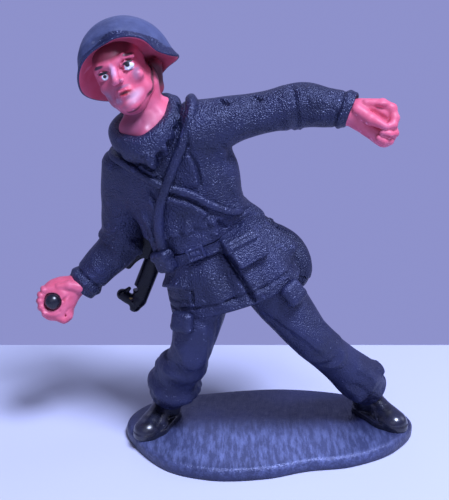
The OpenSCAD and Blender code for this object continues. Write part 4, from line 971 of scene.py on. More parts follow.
def dress_sleeves():
    right_sleeve.folds([
        ([0.46, 20, 0.45, 60, 0.42, 110], 0.22, 0.3, 0.25, 0.9, DOWN),
        ([0.55, 100, 0.58, 140, 0.62, 185], 0.4, 0.3, 0.25, 0.9, DOWN),
        ([0.50, 110, 0.53, 150, 0.56, 190], -0.35, 0.35),
        ([0.62, 165, 0.585, 150, 0.54, 120], 0.25, 0.3, 0.25, 0.8, UP),
        ([0.64, 60, 0.68, 100, 0.74, 140], 0.25, 0.35, 0.25, 1.0, DOWN),
        ([0.36, 60, 0.33, 100, 0.28, 145], 0.2, 0.35, 0.25, 1.1, DOWN),
        ([0.53, 335, 0.55, 0, 0.58, 25], 0.3, 0.35, 0.25, 0.8, DOWN),
        ([0.60, 340, 0.62, 5, 0.66, 25], 0.25, 0.3, 0.25, 0.8, DOWN),
        ([0.78, 20, 0.82, 70, 0.83, 115], 0.18, 0.35, 0.25, 1.1, DOWN),
        ([0.18, 80, 0.24, 110, 0.32, 120], 0.22, 0.6, 0.4),
        ([0.6, 230, 0.57, 265, 0.56, 300], 0.3, 0.35, 0.25, 1.0, DOWN),
        ([0.4, 220, 0.44, 260, 0.45, 310], 0.25, 0.35, 0.25, 1.0, DOWN),
    ])
    cuff_seam(right_sleeve, 0.905, -0.22, 0.25)
    cuff_seam(right_sleeve, 0.945, 0.16, 0.55)
    right_sleeve.rough(0.06, 0.4, 6)
    left_sleeve.folds([
        # two gashes on top, the fold round the elbow and a rubbed flat near the cuff
        ([0.17, 165, 0.20, 150, 0.24, 140], -0.7, 0.36, 0.3),
        ([0.185, 170, 0.215, 156, 0.25, 147], 0.22, 0.35, 0.3),
        ([0.345, 158, 0.375, 146, 0.41, 143], -0.65, 0.34, 0.3),
        ([0.35, 165, 0.38, 155, 0.42, 152], 0.2, 0.35, 0.3),
        ([0.515, 200, 0.525, 150, 0.52, 100, 0.50, 40, 0.49, 0], 0.26, 0.4, 0.25, 1.3, LEFT),
        ([0.555, 180, 0.565, 130, 0.56, 70, 0.55, 20], -0.28, 0.45, 0.2),
        ([0.57, 165, 0.60, 140, 0.66, 120], 0.15, 0.7, 0.3),
        ([0.30, 70, 0.38, 50, 0.46, 30], 0.28, 0.4, 0.25, 1.4, DOWN),
        ([0.14, 40, 0.24, 60, 0.34, 66], 0.25, 0.4, 0.25, 1.6, DOWN),
        ([0.52, 8, 0.56, -6, 0.60, 10], 0.35, 0.35, 0.3),
        ([0.62, 150, 0.68, 130, 0.74, 90], 0.2, 0.35, 0.25, 1.0, DOWN),
        ([0.75, 150, 0.78, 120, 0.80, 100], 0.22, 0.7, 0.4),
        ([0.70, 40, 0.76, 60, 0.84, 62], 0.2, 0.4, 0.25, 1.0, DOWN),
        ([0.5, 230, 0.53, 265, 0.54, 300], 0.3, 0.35, 0.25, 1.0, LEFT),
        ([0.3, 220, 0.34, 260, 0.36, 310], 0.25, 0.4, 0.25, 1.0, LEFT),
    ])
    cuff_seam(left_sleeve, 0.92, -0.16, 0.25)
    cuff_seam(left_sleeve, 0.955, 0.12, 0.5)
    left_sleeve.rough(0.07, 0.4, 7)


dress_sleeves()
meld(trunk, left_sleeve, 3.4, 1.0)
meld(trunk, right_sleeve, 2.6, 0.8)
grid = lip(trunk.grid(), 0, [(0.985, 0.22), (0.955, 0.26), (0.925, 0.1), (0.91, -0.5)])
add_loft("jacket_body", grid, ["jacket"], m_jacket)
for side, skin, slant in (("right", right_sleeve, 0.0), ("left", left_sleeve, 1.6)):
    grid = skin.grid()
    # the cuff is cut at a slant, shorter underneath
    end = smooth((skin.u - 0.72) / 0.28)[:, None]
    low = np.clip(0.35 - ((grid - skin.C[:, None]) @ UP) / SLEEVE_END, 0, 1)
    grid = grid - (slant * end * low)[..., None] * unit(skin.C[-1] - skin.C[-6])
    grid = lip(grid, -1, [(0.97, 0.15), (0.9, 0.2), (0.82, 0.08), (0.76, -0.3)])
    grid = lip(grid, 0, [(0.96, 0.35), (0.87, 0.85), (0.7, 1.3), (0.48, 1.62), (0.2, 1.8)])
    add_loft(side + "_arm_sleeve", grid, [side + "_sleeve"], m_jacket)

# Hands and grenade

SIGHT_UP = V(0, sin(rad(CAMERA_DOWN)), cos(rad(CAMERA_DOWN)))


def right_hand_field(w):
    """The fist round the grenade, seen from the grenade with Y away from the eye."""
    q = local(w, grenade_at, LEFT, SIGHT_UP)
    d = join(oval(q, (0.6, 1.6, 0.5), (3.0, 2.3, 3.2)), oval(q, (1.6, 1.9, 1.6), (2.4, 2.0, 2.3)), 0.6)
    d = join(d, rod(q, (1.6, 1.9, 1.2), (5.4, 1.9, 3.9), 1.9, 1.55), 0.8)
    d = join(d, oval(q, (1.4, 1.4, -1.9), (1.6, 1.7, 1.7)), 0.5)
    d = join(d, oval(q, (-0.3, 1.2, -1.9), (1.7, 1.4, 1.3)), 0.4)
    ring = np.sqrt(q[:, 0] ** 2 + q[:, 2] ** 2)
    d = join(d, np.sqrt((ring - 2.0) ** 2 + ((q[:, 1] - 0.35) * 0.8) ** 2) - 0.62, 0.35)
    # the thumb comes over the top, the knuckles show along the far edge
    d = join(d, chain(q, [(4.0, 0.7, 2.2), (2.5, 0.1, 2.5), (0.9, -0.1, 2.35)], [0.95, 0.8, 0.55], 0.3), 0.25)
    for x, z, r in ((-1.75, 2.0, 0.5), (-2.3, 1.05, 0.5), (-2.45, 0.0, 0.48), (-2.2, -1.1, 0.5),
                    (-1.5, -2.1, 0.5)):
        d = join(d, chain(q, [(x * 0.85, -0.1, z * 0.85), (x, 0.9, z), (x * 0.9, 2.2, z)], r), 0.16)
    d = join(d, chain(q, [(2.3, 0.9, -2.4), (1.6, 0.4, -2.9), (0.7, 0.4, -2.6)], [0.75, 0.65, 0.5], 0.2), 0.2)
    d = carve(d, chain(q, [(3.6, -0.4, 1.25), (2.5, -0.5, 0.95), (1.7, -0.5, 0.2)], 0.16), 0.3)
    d = carve(d, chain(q, [(-1.1, -0.6, -1.55), (0.0, -0.7, -1.95), (1.1, -0.6, -1.6)], 0.22), 0.25)
    d = carve(d, chain(q, [(2.6, 0.0, -1.2), (2.0, -0.3, -1.9), (1.9, 0.3, -2.6)], 0.12), 0.2)
    d = carve(d, ball(q, (0, 0, 0), 1.46), 0.08)
    return d + 0.05 * noise(w, 1.0, 31)


add_sculpt("right_fist", right_hand_field, grenade_at + V(-4, -2.4, -4.6), grenade_at + V(7.6, 6.2, 6.4),
           0.14, ["right_hand"], m_skin)


def grenade_field(w):
    q = w - grenade_at
    d = ball(q, (0, 0, 0), 1.42)
    seam = np.abs(q[:, 2]) - 0.05
    d = np.where(seam < 0.1, d - 0.02 * (1 - np.clip(seam / 0.1, 0, 1)), d)
    return join(d, rod(q, (0, 0, 0), 1.5 * unit(V(0.35, 0.45, 1)), 0.5, 0.5), 0.1)


add_sculpt("hand_grenade", grenade_field, grenade_at - 2.3, grenade_at + 2.3, 0.09,
           ["grenade"], m_ball)


def left_hand_field(w):
    """The clenched fist, seen from its thumb with Y away from the eye."""
    q = local(w, fist_at, LEFT, SIGHT_UP)
    d = rod(q, (-5.9, 0.9, 1.15), (-2.8, 0.6, 0.95), 1.5, 2.0)
    d = join(d, rod(q, (-2.4, 0.7, 1.05), (0.5, 0.7, 1.0), 2.2, 2.2), 0.5)
    d = join(d, rod(q, (1.15, 0.6, 0.7), (1.3, 0.6, -1.7), 1.8, 1.6), 0.5)
    d = join(d, rod(q, (-2.3, 0.4, -0.2), (1.0, 0.5, -2.45), 1.4, 1.45), 0.5)
    # the fingers curl over the far edge and back to the palm, the first two as one
    first = [(-1.8, -0.9, 2.35), (0.5, -1.15, 2.3), (1.9, -1.0, 1.55), (2.25, -1.1, 0.2), (1.95, -1.4, -0.9),
             (0.9, -1.75, -1.2)]
    third = [(2.15, -0.5, -0.9), (2.25, -0.8, -1.9), (1.4, -1.35, -2.2), (0.6, -1.5, -2.0)]
    fourth = [(2.0, 0.2, -2.2), (1.7, -0.4, -3.05), (0.8, -0.95, -3.1), (0.1, -1.1, -2.75)]
    d = join(d, chain(q, first, [0.6, 0.68, 0.72, 0.72, 0.68, 0.55], 0.3), 0.25)
    d = join(d, chain(q, third, 0.62, 0.3), 0.16)
    d = join(d, chain(q, fourth, 0.56, 0.3), 0.14)
    d = carve(d, chain(q, [(2.9, -1.5, -1.35), (1.8, -2.1, -1.5), (0.7, -2.3, -1.65)], 0.12), 0.18)
    d = carve(d, chain(q, [(2.9, -1.0, -2.5), (1.5, -1.75, -2.65), (0.4, -1.9, -2.4)], 0.12), 0.18)
    # the thumb lies across them, with a deep hollow above it
    hollow = [(-2.2, -1.9, 1.75), (-0.9, -1.75, 0.95), (0.9, -1.6, -0.15)]
    d = carve(d, chain(q, hollow, [0.25, 0.55, 0.45], 0.2), 0.3)
    thumb = [(-3.0, -0.9, 1.35), (-1.3, -1.65, 0.0), (0.75, -2.05, -1.15)]
    d = join(d, chain(q, thumb, [1.0, 0.88, 0.5], 0.3), 0.12)
    d = carve(d, chain(q, [(-2.7, -2.0, -0.55), (-0.9, -2.2, -1.35), (0.5, -2.3, -1.85)], 0.14), 0.22)
    d = join(d, oval(q, (0.45, -1.55, 2.15), (0.9, 0.5, 0.35)), 0.3)
    return d + 0.06 * noise(w, 0.9, 32)


add_sculpt("left_fist", left_hand_field, fist_at + V(-8.2, -4.4, -5.6), fist_at + V(4.4, 4.2, 5.4), 0.14,
           ["left_hand"], m_skin)

# Head and helmet

def on_head(x, y, z):
    return head_middle + HEAD @ V(x, y, z)


# the groove from the chin to the ear, which is also painted dark along its length as shade
JAW_LINE = [(-1.7, -3.3, -5.0), (0.4, -3.5, -5.25), (2.2, -2.4, -4.4), (3.0, -0.9, -2.9), (3.4, 0.3, -1.2),
            (3.5, 1.7, 0.6)]


def neck_field(w):
    """The neck, its cord on the left and the flat of the throat inside the collar."""
    d = chain(w, [nape + V(0.7, 0.4, 0.4), mix(nape, neck_root, 0.55) + V(0.2, 0, 0),
                  neck_root + V(-0.3, -0.6, 0)], [3.3, 2.85, 2.95], 0.5)
    cord = [on_head(3.0, 0.6, -2.4), mix(nape, neck_root, 0.8) + V(1.6, -1.9, -0.6)]
    d = join(d, chain(w, cord, [0.8, 0.6]), 0.8)
    throat = [(-2.6, -2.0, -0.2), (-0.4, -3.3, -0.6), (1.6, -1.8, 1.1), (2.6, -0.2, 2.3)]
    return join(d, chain(w, neck_root + np.array(throat), [1.9, 1.9, 1.9, 1.7]), 1.2)


def head_field(w):
    """Head and neck: q is the place in the head's frame, and a is the same mirrored onto its left half."""
    q = (w - head_middle) @ HEAD
    a = np.abs(q) * V(1, 0, 0) + q * V(0, 1, 1)
    d = join(oval(q, (-0.5, 0.3, 1.9), (3.75, 4.6, 4.4)), oval(q, (-0.25, -0.7, -0.9), (3.4, 3.6, 4.0)), 1.0)
    d = join(d, oval(q, (-0.25, -1.6, -3.3), (2.3, 2.3, 2.2)), 1.0)
    d = join(d, oval(a, (2.5, -0.5, -2.3), (0.9, 1.9, 1.3)), 0.8)
    d = join(d, oval(a, (2.35, -3.0, -0.55), (1.1, 0.9, 0.85)), 0.8)
    brow = [(0.35, -4.15, 2.0), (1.9, -3.85, 2.45), (2.9, -3.0, 2.1)]
    d = join(d, chain(a, brow, [0.5, 0.48, 0.3], 0.3), 0.7)
    d = carve(d, oval(a, (1.95, -4.75, 1.2), (1.2, 0.95, 0.62)), 0.5)
    d = join(d, oval(a, (1.97, -3.5, 1.1), (0.95, 0.8, 0.6)), 0.12)
    d = join(d, chain(a, [(1.15, -4.12, 1.42), (1.95, -4.25, 1.66), (2.8, -3.7, 1.4)], 0.16, 0.1), 0.12)
    d = join(d, chain(a, [(1.2, -4.1, 0.72), (1.95, -4.12, 0.58), (2.7, -3.65, 0.75)], 0.12, 0.1), 0.16)
    d = join(d, chain(q, [(0, -4.2, 1.9), (0, -4.8, 0.7), (0, -5.4, -0.3)], [0.42, 0.48, 0.56], 0.3), 0.35)
    d = join(d, oval(a, (0.56, -4.75, -0.5), (0.42, 0.5, 0.36)), 0.2)
    d = carve(d, oval(a, (0.3, -5.1, -0.86), (0.2, 0.3, 0.12)), 0.12)
    d = join(d, oval(q, (0, -3.75, -2.3), (1.4, 0.75, 0.95)), 0.5)
    upper_lip = [(0, -4.56, -1.98), (0.5, -4.5, -1.94), (1.05, -4.1, -2.2)]
    d = join(d, chain(a, upper_lip, [0.24, 0.24, 0.12], 0.1), 0.14)
    lower_lip = [(0, -4.4, -2.66), (0.5, -4.32, -2.62), (0.95, -4.1, -2.4)]
    d = join(d, chain(a, lower_lip, [0.3, 0.26, 0.12], 0.1), 0.16)
    d = carve(d, chain(a, [(0, -4.8, -2.3), (0.55, -4.72, -2.28), (1.15, -4.3, -2.3)], 0.12), 0.12)
    d = carve(d, oval(q, (0, -4.65, -3.3), (0.9, 0.5, 0.28)), 0.3)
    d = join(d, oval(q, (0, -3.3, -4.25), (1.15, 0.95, 0.8)), 0.6)
    d = carve(d, chain(a, [(1.0, -4.6, -0.8), (1.5, -4.2, -1.5), (1.7, -3.8, -2.3)], 0.1), 0.4)
    # the back of the head and the hair below the helmet
    d = join(d, oval(q, (-0.2, 2.4, -0.8), (2.9, 2.6, 2.6)), 0.8)
    d = join(d, chain(q, [(3.5, 3.6, 0.1), (2.8, 3.8, -1.1), (2.3, 3.6, -2.7)], [1.15, 1.2, 1.35], 0.4), 0.4)
    # a groove under the chin parts the face from the neck
    d = join(d, neck_field(w), 0.12)
    d = carve(d, chain(q, JAW_LINE, 0.17), 0.14)
    return d + 0.04 * noise(w, 1.2, 41)


BLACK, WHITE = (0.006, 0.006, 0.01), (0.82, 0.83, 0.9)
GREY = (0.18, 0.16, 0.26)
FACE = [
    # eyes, lids and brows
    ((-1.68, -4.0, 0.86), (0.50, 1.3, 0.42), 0, 0.25, WHITE, 1.0),
    ((-1.68, -4.0, 0.96), (0.25, 1.3, 0.27), 0, 0.3, BLACK, 1.0),
    ((-1.72, -4.0, 1.46), (0.80, 1.2, 0.22), 4, 0.3, BLACK, 1.0),
    ((2.22, -4.0, 0.86), (0.74, 1.3, 0.50), -4, 0.25, WHITE, 1.0),
    ((2.12, -4.0, 1.20), (0.36, 1.3, 0.36), 0, 0.3, BLACK, 1.0),
    ((2.35, -4.0, 1.52), (0.92, 1.2, 0.21), -6, 0.3, BLACK, 1.0),
    ((-2.0, -3.8, 2.42), (0.98, 1.3, 0.26), 5, 0.4, (0.03, 0.015, 0.03), 0.95),
    ((2.9, -3.6, 2.62), (1.0, 1.9, 0.36), -3, 0.4, BLACK, 0.95),
    # lips, grey worn patches, painted highlights on the chin and the bridge of the nose, and painted shade on
    # one cheek, under the nose and on the forehead under the helmet's brim
    ((0.3, -4.4, -2.3), (0.98, 0.9, 0.40), 4, 0.6, (0.42, 0.012, 0.025), 0.9),
    ((0.25, -4.5, -2.3), (0.70, 0.9, 0.17), 4, 0.9, (0.09, 0.004, 0.012), 0.95),
    ((0.2, -4.6, -1.35), (1.15, 0.8, 0.22), 2, 1.0, GREY, 0.6),
    ((1.2, -3.7, -3.1), (1.2, 1.3, 0.55), -20, 1.2, (0.80, 0.50, 0.62), 0.75),
    ((0.4, -3.9, -4.0), (1.5, 1.0, 0.32), -6, 1.2, GREY, 0.4),
    ((2.6, -3.6, -0.3), (0.5, 0.9, 0.75), 10, 1.0, GREY, 0.6),
    ((-1.6, -3.6, -1.4), (1.3, 1.2, 1.5), 20, 1.4, (0.22, 0.06, 0.12), 0.5),
    ((-0.05, -4.9, 0.9), (0.42, 0.9, 1.1), 0, 0.9, (0.66, 0.40, 0.60), 0.8),
    ((0.35, -5.2, -0.45), (0.40, 0.5, 0.26), 0, 0.8, (0.05, 0.03, 0.08), 0.7),
    ((0.3, -3.2, 4.2), (4.6, 3.4, 1.6), 0, 0.45, (0.10, 0.01, 0.02), 0.9),
    # the hair at the nape, darkened with painted shade, more worn patches, and painted shade on one side of
    # the jaw and the neck and under the chin
    ((3.1, 3.4, -0.5), (1.7, 2.7, 3.0), 0, 0.6, (0.075, 0.008, 0.016), 0.93),
    ((-2.6, -3.0, -1.6), (0.5, 0.9, 0.8), 0, 1.0, GREY, 0.55),
    ((-1.3, -3.9, -3.0), (0.6, 0.9, 0.5), 0, 1.0, GREY, 0.5),
    ((2.9, -2.9, 0.3), (0.4, 0.9, 0.4), 0, 1.0, GREY, 0.5),
    ((-2.9, -2.4, -2.6), (1.1, 1.8, 2.8), 0, 1.2, (0.2, 0.05, 0.1), 0.5),
    ((-1.5, -3.0, -6.6), (2.8, 2.2, 1.4), 0, 1.2, (0.2, 0.05, 0.1), 0.7),
]
face = [(on_head(*at), *rest) for at, *rest in FACE]
# painted shade on the same side of the neck, low by the collar
face += [(neck_root + V(-1.8, -3.0, 0.8), (2.8, 2.6, 2.6), 0, 1.2, (0.2, 0.06, 0.12), 0.7)]
# black dots along the jaw groove: painted shade under the jaw
jaw_shade_dots = along(JAW_LINE, np.linspace(0.08, 1, 22))
face += [(on_head(*at), (0.4, 0.4, 0.4), 0, 0.6, BLACK, 0.75) for at in jaw_shade_dots]
add_sculpt("painted_head", head_field, head_middle - V(7.4, 7.4, 12.2), head_middle + V(9.4, 6.6, 7.0), 0.15,
           ["head"], skin_paint("face_paint", face))

HELMET_HALF, HELMET_HIGH = HELMET_W / 2, 7.3
# rows of radius and height, in shares, from the crown to the rim
HELMET_ROWS = [[0.001, 1], [0.3, 0.96], [0.56, 0.84], [0.75, 0.62], [0.86, 0.38], [0.92, 0.18], [1, 0]]
# the lip and the underside, from the rim inwards: rows of radius, in shares and mm, and height in mm
HELMET_LIP = [[1, 0.03, -0.10], [1, 0.02, -0.22], [1, -0.08, -0.32], [1, -0.22, -0.34], [1, -0.4, -0.26],
              [0.88, 0, 0.1], [0.81, 0, 0.55], [0.74, 0, 1.05], [0.66, 0, 1.5], [0.56, 0, 1.8], [0.3, 0, 2.0],
              [0.02, 0, 2.05]]
# how far the rim stands out and up, every 22.5 degrees round from its left ear towards the nape
RIM_WARP = [[-0.45, -1.3], [0.0, 0.0], [-1.1, 0.6], [-1.5, 0.4], [-1.2, 0.2], [-0.4, 0.4], [0.0, 0.35],
            [0.1, 0.2], [0.35, 0.1], [0.0, 0.05], [-0.6, 0.3], [-1.2, 0.45], [-1.4, 0.45], [-0.8, 0.3],
            [-0.1, -0.5], [-0.9, -1.3]]


def make_helmet():
    m, n = ((200, 60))
    profile = [[r * HELMET_HALF, z * HELMET_HIGH] for r, z in along(HELMET_ROWS, np.linspace(0, 1, n))[1:]]
    rim_row = len(profile) + 3
    profile += [[share * HELMET_HALF + more, z] for share, more, z in HELMET_LIP]
    a = np.radians(np.arange(m) * 360 / m)
    warp = around(RIM_WARP, np.arange(m) / m)
    front, side = -np.sin(a), np.abs(np.cos(a))
    # the rim dips over the ears and the nape and lifts over the brow
    dip = 0.25 * side ** 2 - 0.6 * np.clip(front, 0, 1) ** 2 + 0.2 * np.clip(-front, 0, 1) ** 2
    grid = []
    for r, z in profile:
        rim = smooth((r / HELMET_HALF - 0.72) / 0.28) * smooth((2.2 - z) / 2.2)
        near = smooth((r / HELMET_HALF - 0.6) / 0.35) * smooth((3.4 - z) / 3.0)
        rr = r * (1 + 0.012 * np.sin(3 * a + 1) + 0.008 * np.sin(5 * a)) + rim * warp[:, 0]
        grid.append(np.stack([rr * np.cos(a), rr * 1.06 * np.sin(a), z - rim * dip + near * warp[:, 1]], 1))
    grid = np.array(grid)
    c = grid.reshape(-1, 3)
    c = c + 0.05 * noise(c, 0.35, 51)[:, None] * (c / np.maximum(np.linalg.norm(c, axis=1), 1)[:, None])
    c = c + V(HELMET_W * 0.03, 0, HEAD_TALL * 0.11)
    grid = (head_middle + c @ HELMET.T).reshape(grid.shape)
    obj = add_loft("steel_helmet", grid, ["helmet"], m_helmet)
    # the underside is painted pink, and a band over the rim gets the dark strap plastic as painted shade on
    # the lip, wider on one side
    obj.data.materials.append(m_skin)
    obj.data.materials.append(m_strap)
    idx = np.zeros(len(obj.data.polygons), dtype=np.int32)
    for p in obj.data.polygons:
        row, turn = divmod(min(p.vertices), m)
        # how many rows above the rim get the painted shade, more on one side
        bare = 7 + 1.5 * sin(turn * 0.21) + 6 * smooth((cos(rad(turn * 360 / m - 320)) - 0.3) / 0.6)
        if row >= rim_row:
            idx[p.index] = 1
        elif row > rim_row - bare * n / 60:
            idx[p.index] = 2
    obj.data.polygons.foreach_set("material_index", idx)


make_helmet()

# Belt, buckle and pouches


def trunk_frame(u, a):
    """A place on the bare trunk, with the directions along the waist and up."""
    at = trunk.at(u, a)[0]
    side = unit(trunk.at(u, a - 2)[0] - trunk.at(u, a + 2)[0])
    rise = trunk.at(u + 0.01, a)[0] - trunk.at(u - 0.01, a)[0]
    rise = unit(rise - (rise @ side) * side)
    return at, side, rise


def make_belt():
    n = 200
    u, a = np.full(n, WAIST_U), np.arange(n) * 360 / n
    pts = trunk.at(u, a)
    outs = trunk.out(u, a)
    outs = units(outs - (outs @ trunk_up)[:, None] * trunk_up)
    # half the section, from the middle to an edge, with its raised border
    w, t = 0.86, 0.52
    half = [(w * 0.76, t * 0.9), (w * 0.84, t), (w * 0.94, t * 0.92), (w, t * 0.6), (w, -0.5)]
    section = [(-z, o) for z, o in half[::-1]] + [(0, t * 0.92)] + half
    grid = np.array([pts + z * trunk_up + o * outs for z, o in section]).transpose(1, 0, 2)
    add_loft("waist_belt", grid, ["belt"], m_strap, closed=True)


make_belt()


buckle_frame = trunk_frame(WAIST_U + 0.012, 95)


def buckle_field(w):
    q = local(w, *buckle_frame)
    d = block(q, (0, -0.3, 0), (1.5, 0.72, 1.15), 0.35)
    d = carve(d, block(q, (0, -1.05, 0), (1.0, 0.22, 0.68), 0.1), 0.12)
    return join(d, block(q, (-0.15, -0.78, 0), (0.75, 0.2, 0.3), 0.14), 0.1)


add_sculpt("belt_plate", buckle_field, buckle_frame[0] - 2.6, buckle_frame[0] + 2.6, 0.12,
           ["belt_buckle"], m_strap)


def make_left_pouch():
    """Its flap slopes back to the body and ends in a doubled edge across the front."""
    at = waist + V(7.2, -5.6, 0.3)
    side = unit(V(0.85, 0.39, 0.36))
    rise = V(-0.47, 0.25, 0.84)
    rise = unit(rise - (rise @ side) * side)

    def body(w):
        q = local(w, at, side, rise)
        q = q + V(1, 0, 0) * 0.13 * q[:, 2:]
        d = block(q, (0.05, 1.8, -0.1), (2.68, 1.9, 1.62), 0.4)
        d = carve(d, chain(q, [(-2.3, -0.12, -1.3), (2.3, -0.12, -1.3)], 0.07), 0.12)
        return d + 0.05 * noise(w, 0.5, 61)

    def flap(w):
        q = local(w, at, side, rise)
        d = block(q, (-0.4, 1.8, 2.75), (2.62, 2.1, 1.72), 0.4)
        slope = (q[:, 1] + 0.2) * -0.65 + (q[:, 2] - 2.7) * 0.76
        d = carve(d, -slope, 0.25)
        for z in (1.35, 2.1):
            d = carve(d, chain(q, [(-2.6, -0.34, z + 0.05), (2.4, -0.34, z - 0.15)], 0.1), 0.14)
        d = join(d, chain(q, [(-2.4, -0.22, 1.76), (2.2, -0.22, 1.58)], 0.24), 0.15)
        return d + 0.05 * noise(w, 0.6, 62)
    add_sculpt("left_pouch_body", body, at + V(-4.6, -3.4, -3.6), at + V(5.4, 6, 4.6), 0.15,
               ["left_ammo_pouch"], m_strap)
    add_sculpt("left_pouch_cover", flap, at + V(-6.4, -3.4, -1.6), at + V(3.6, 6.4, 7), 0.15,
               ["left_pouch_flap"], m_strap)


make_left_pouch()


def make_right_pouch():
    at, side, rise = trunk_frame(WAIST_U, 138)
    at = at + rise * 0.6 - side * 0.1

    def field(w):
        q = local(w, at, side, rise)
        d = block(q, (0, -0.2, -0.1), (1.6, 1.9, 1.75), 0.8)
        d = join(d, block(q, (0, -0.3, 0.95), (1.72, 2.05, 0.85), 0.7), 0.1)
        return d + 0.06 * noise(w, 0.6, 63)
    add_sculpt("right_pouch", field, at - 3.6, at + 3.6, 0.15, ["right_ammo_pouch"], m_strap)


make_right_pouch()

# Haversack and roll

bag_way, bag_up = heading(BAG_TURN, 0), unit(V(0.9, -0.15, 1))
bag_side = unit(np.cross(-bag_way, bag_up))
bag_at = waist + WAIST_W * V(0.83, 0.2, 0) - BAG_HIGH * 0.43 * UP


def haversack_field(w):
    q = local(w, bag_at, bag_side, bag_up)
    q = q + V(0, 2.2, 0)
    r = np.sqrt((q[:, 0] / 5.95) ** 2 + ((q[:, 2] + 0.15) / 4.45) ** 2)
    d = oval(q, (0, 0, -0.1), (6.05, 2.35, 4.55))
    d = join(d, oval(q, (-0.6, -0.15, -0.9), (5.3, 2.3, 3.5)), 0.8)
    flap = np.maximum(oval(q, (0, 0, 0.0), (6.15, 2.55, 4.65)), 0.3 + 0.035 * q[:, 0] ** 2 - q[:, 2]) - 0.05
    d = join(d, flap, 0.15)
    for x in (-2.3, 1.7):
        d = join(d, chain(q, [(x, -2.3, 2.2), (x, -2.62, 0.6), (x, -2.5, -1.5)], 0.3), 0.12)
        d = join(d, block(q, (x, -2.75, -0.6), (0.5, 0.3, 0.4), 0.12), 0.08)
    seam = np.abs(np.abs(q[:, 1]) - 1.15) + 6 * np.abs(r - 0.93)
    d = d + 0.1 * np.clip(1 - seam, 0, 1)
    return d + 0.12 * noise(w, 0.35, 71) + 0.04 * noise(w, 0.9, 72)


add_sculpt("canvas_haversack", haversack_field, bag_at - V(7, 4.5, 7), bag_at + V(7, 8.5, 7), 0.2,
           ["haversack"], m_strap)

roll_at = bag_at + bag_up * BAG_HIGH * 0.29 + bag_way * BAG_DEEP * 0.35 + bag_side * BAG_LEN * 0.5
roll_at = roll_at + V(-0.4, 0, -0.4)
roll_axis = unit(bag_side - 0.35 * bag_up)
roll_up = unit(bag_up - (bag_up @ roll_axis) * roll_axis)


def roll_field(w):
    q = local(w, roll_at, roll_axis, roll_up)
    d = rod(q, (-2.3, 0, -0.2), (2.0, 0, 0), 0.85, 0.9)
    d = np.maximum(d, np.abs(q[:, 0]) - 2.75) - 0.05
    ang = np.arctan2(q[:, 2], q[:, 1])
    r = np.sqrt(q[:, 1] ** 2 + q[:, 2] ** 2)
    d = d + 0.05 * np.cos(ang - 7 * r) * (np.abs(q[:, 0]) > 2.3)
    for x in (-1.2, 1.2):
        d = join(d, np.maximum(np.abs(q[:, 0] - x) - 0.35, r - 0.95), 0.15)
    return d + 0.05 * noise(w, 0.8, 73)


add_sculpt("rolled_sheet", roll_field, roll_at - 4.6, roll_at + 4.6, 0.17,
           ["haversack_roll"], m_strap)

# Straps


# where they run on the trunk: u, angle, u, angle and so on
STRAP = [0.4, -40, 0.4, -10, 0.43, 30, 0.49, 60, 0.55, 78, 0.61, 96, 0.68, 114, 0.75, 134, 0.81, 168,
         0.82, 196, 0.72, 230, 0.6, 264, 0.5, 296, 0.44, 316]
SLING = [0.78, 54, 0.705, 70, 0.65, 84, 0.6, 94, 0.54, 108, 0.475, 120, 0.405, 130, 0.345, 141, 0.315, 165,
         0.3, 196]
SLING_BACK = [0.56, 0.66, 0.78], [300, 306, 312]


def laid(path, n, lift):
    """Points a little above the dressed trunk, and the outward directions there."""
    u, a = along(np.reshape(path, (-1, 2)), np.linspace(0, 1, n)).T
    outs = trunk.out(u, a)
    return trunk.at(u, a) + outs * (np.minimum(trunk.raised(u, a), 0.35) * 0.5 + lift)[:, None], outs


def on_gun(share):
    return butt + share * GUN_LEN * gun_way + 0.4 * GUN_W * FRONT


def over_shoulder(across, up, front):
    return left_shoulder + SLEEVE * (across * trunk_across + up * trunk_up + front * FRONT)


def make_straps():
    points, outs = laid(STRAP, 170, 0.02)
    grid = band(points, outs, 1.3, 0.85, 0.45)
    add_loft("haversack_webbing", grid, ["haversack_strap"], m_strap)
    # the sling runs from the gun up the back, over the left shoulder and down across the chest to the gun
    over = (-0.2, 0.3, -0.5), (-0.14, 0.62, -0.1), (-0.2, 0.46, 0.36)
    top = [over_shoulder(*share) for share in over]
    top_outs = [unit(p - left_shoulder) for p in top]
    chest, chest_outs = (rows[3::6] for rows in laid(SLING, 60, 0.2))
    keys = [on_gun(0.68), *trunk.at(*SLING_BACK), *top, *chest, on_gun(0.36)]
    key_outs = [V(-0.4, 0.9, 0), *trunk.out(*SLING_BACK), *top_outs, *chest_outs, V(-0.7, -0.7, 0)]
    shares = np.linspace(0, 1, 200)
    grid = band(along(keys, shares), units(along(key_outs, shares)), 1.6, 0.85, 0.6)
    add_loft("rifle_sling", grid, ["gun_sling"], m_strap)


make_straps()

# Gun

BODY_FROM, BODY_TO = 0.28 * GUN_LEN, 0.68 * GUN_LEN


def gun_piece(name, node, field, z0, z1, wide, step=0.16):
    """A piece of the gun between two heights on its axis; fields see Z along it and X to its upper side."""
    ends = np.array([butt + gun_way * z0, butt + gun_way * z1])
    low, high = ends.min(0) - wide, ends.max(0) + wide
    add_sculpt(name, lambda w: field(local(w, butt, gun_side, gun_way)), low, high, step, [node], m_black)


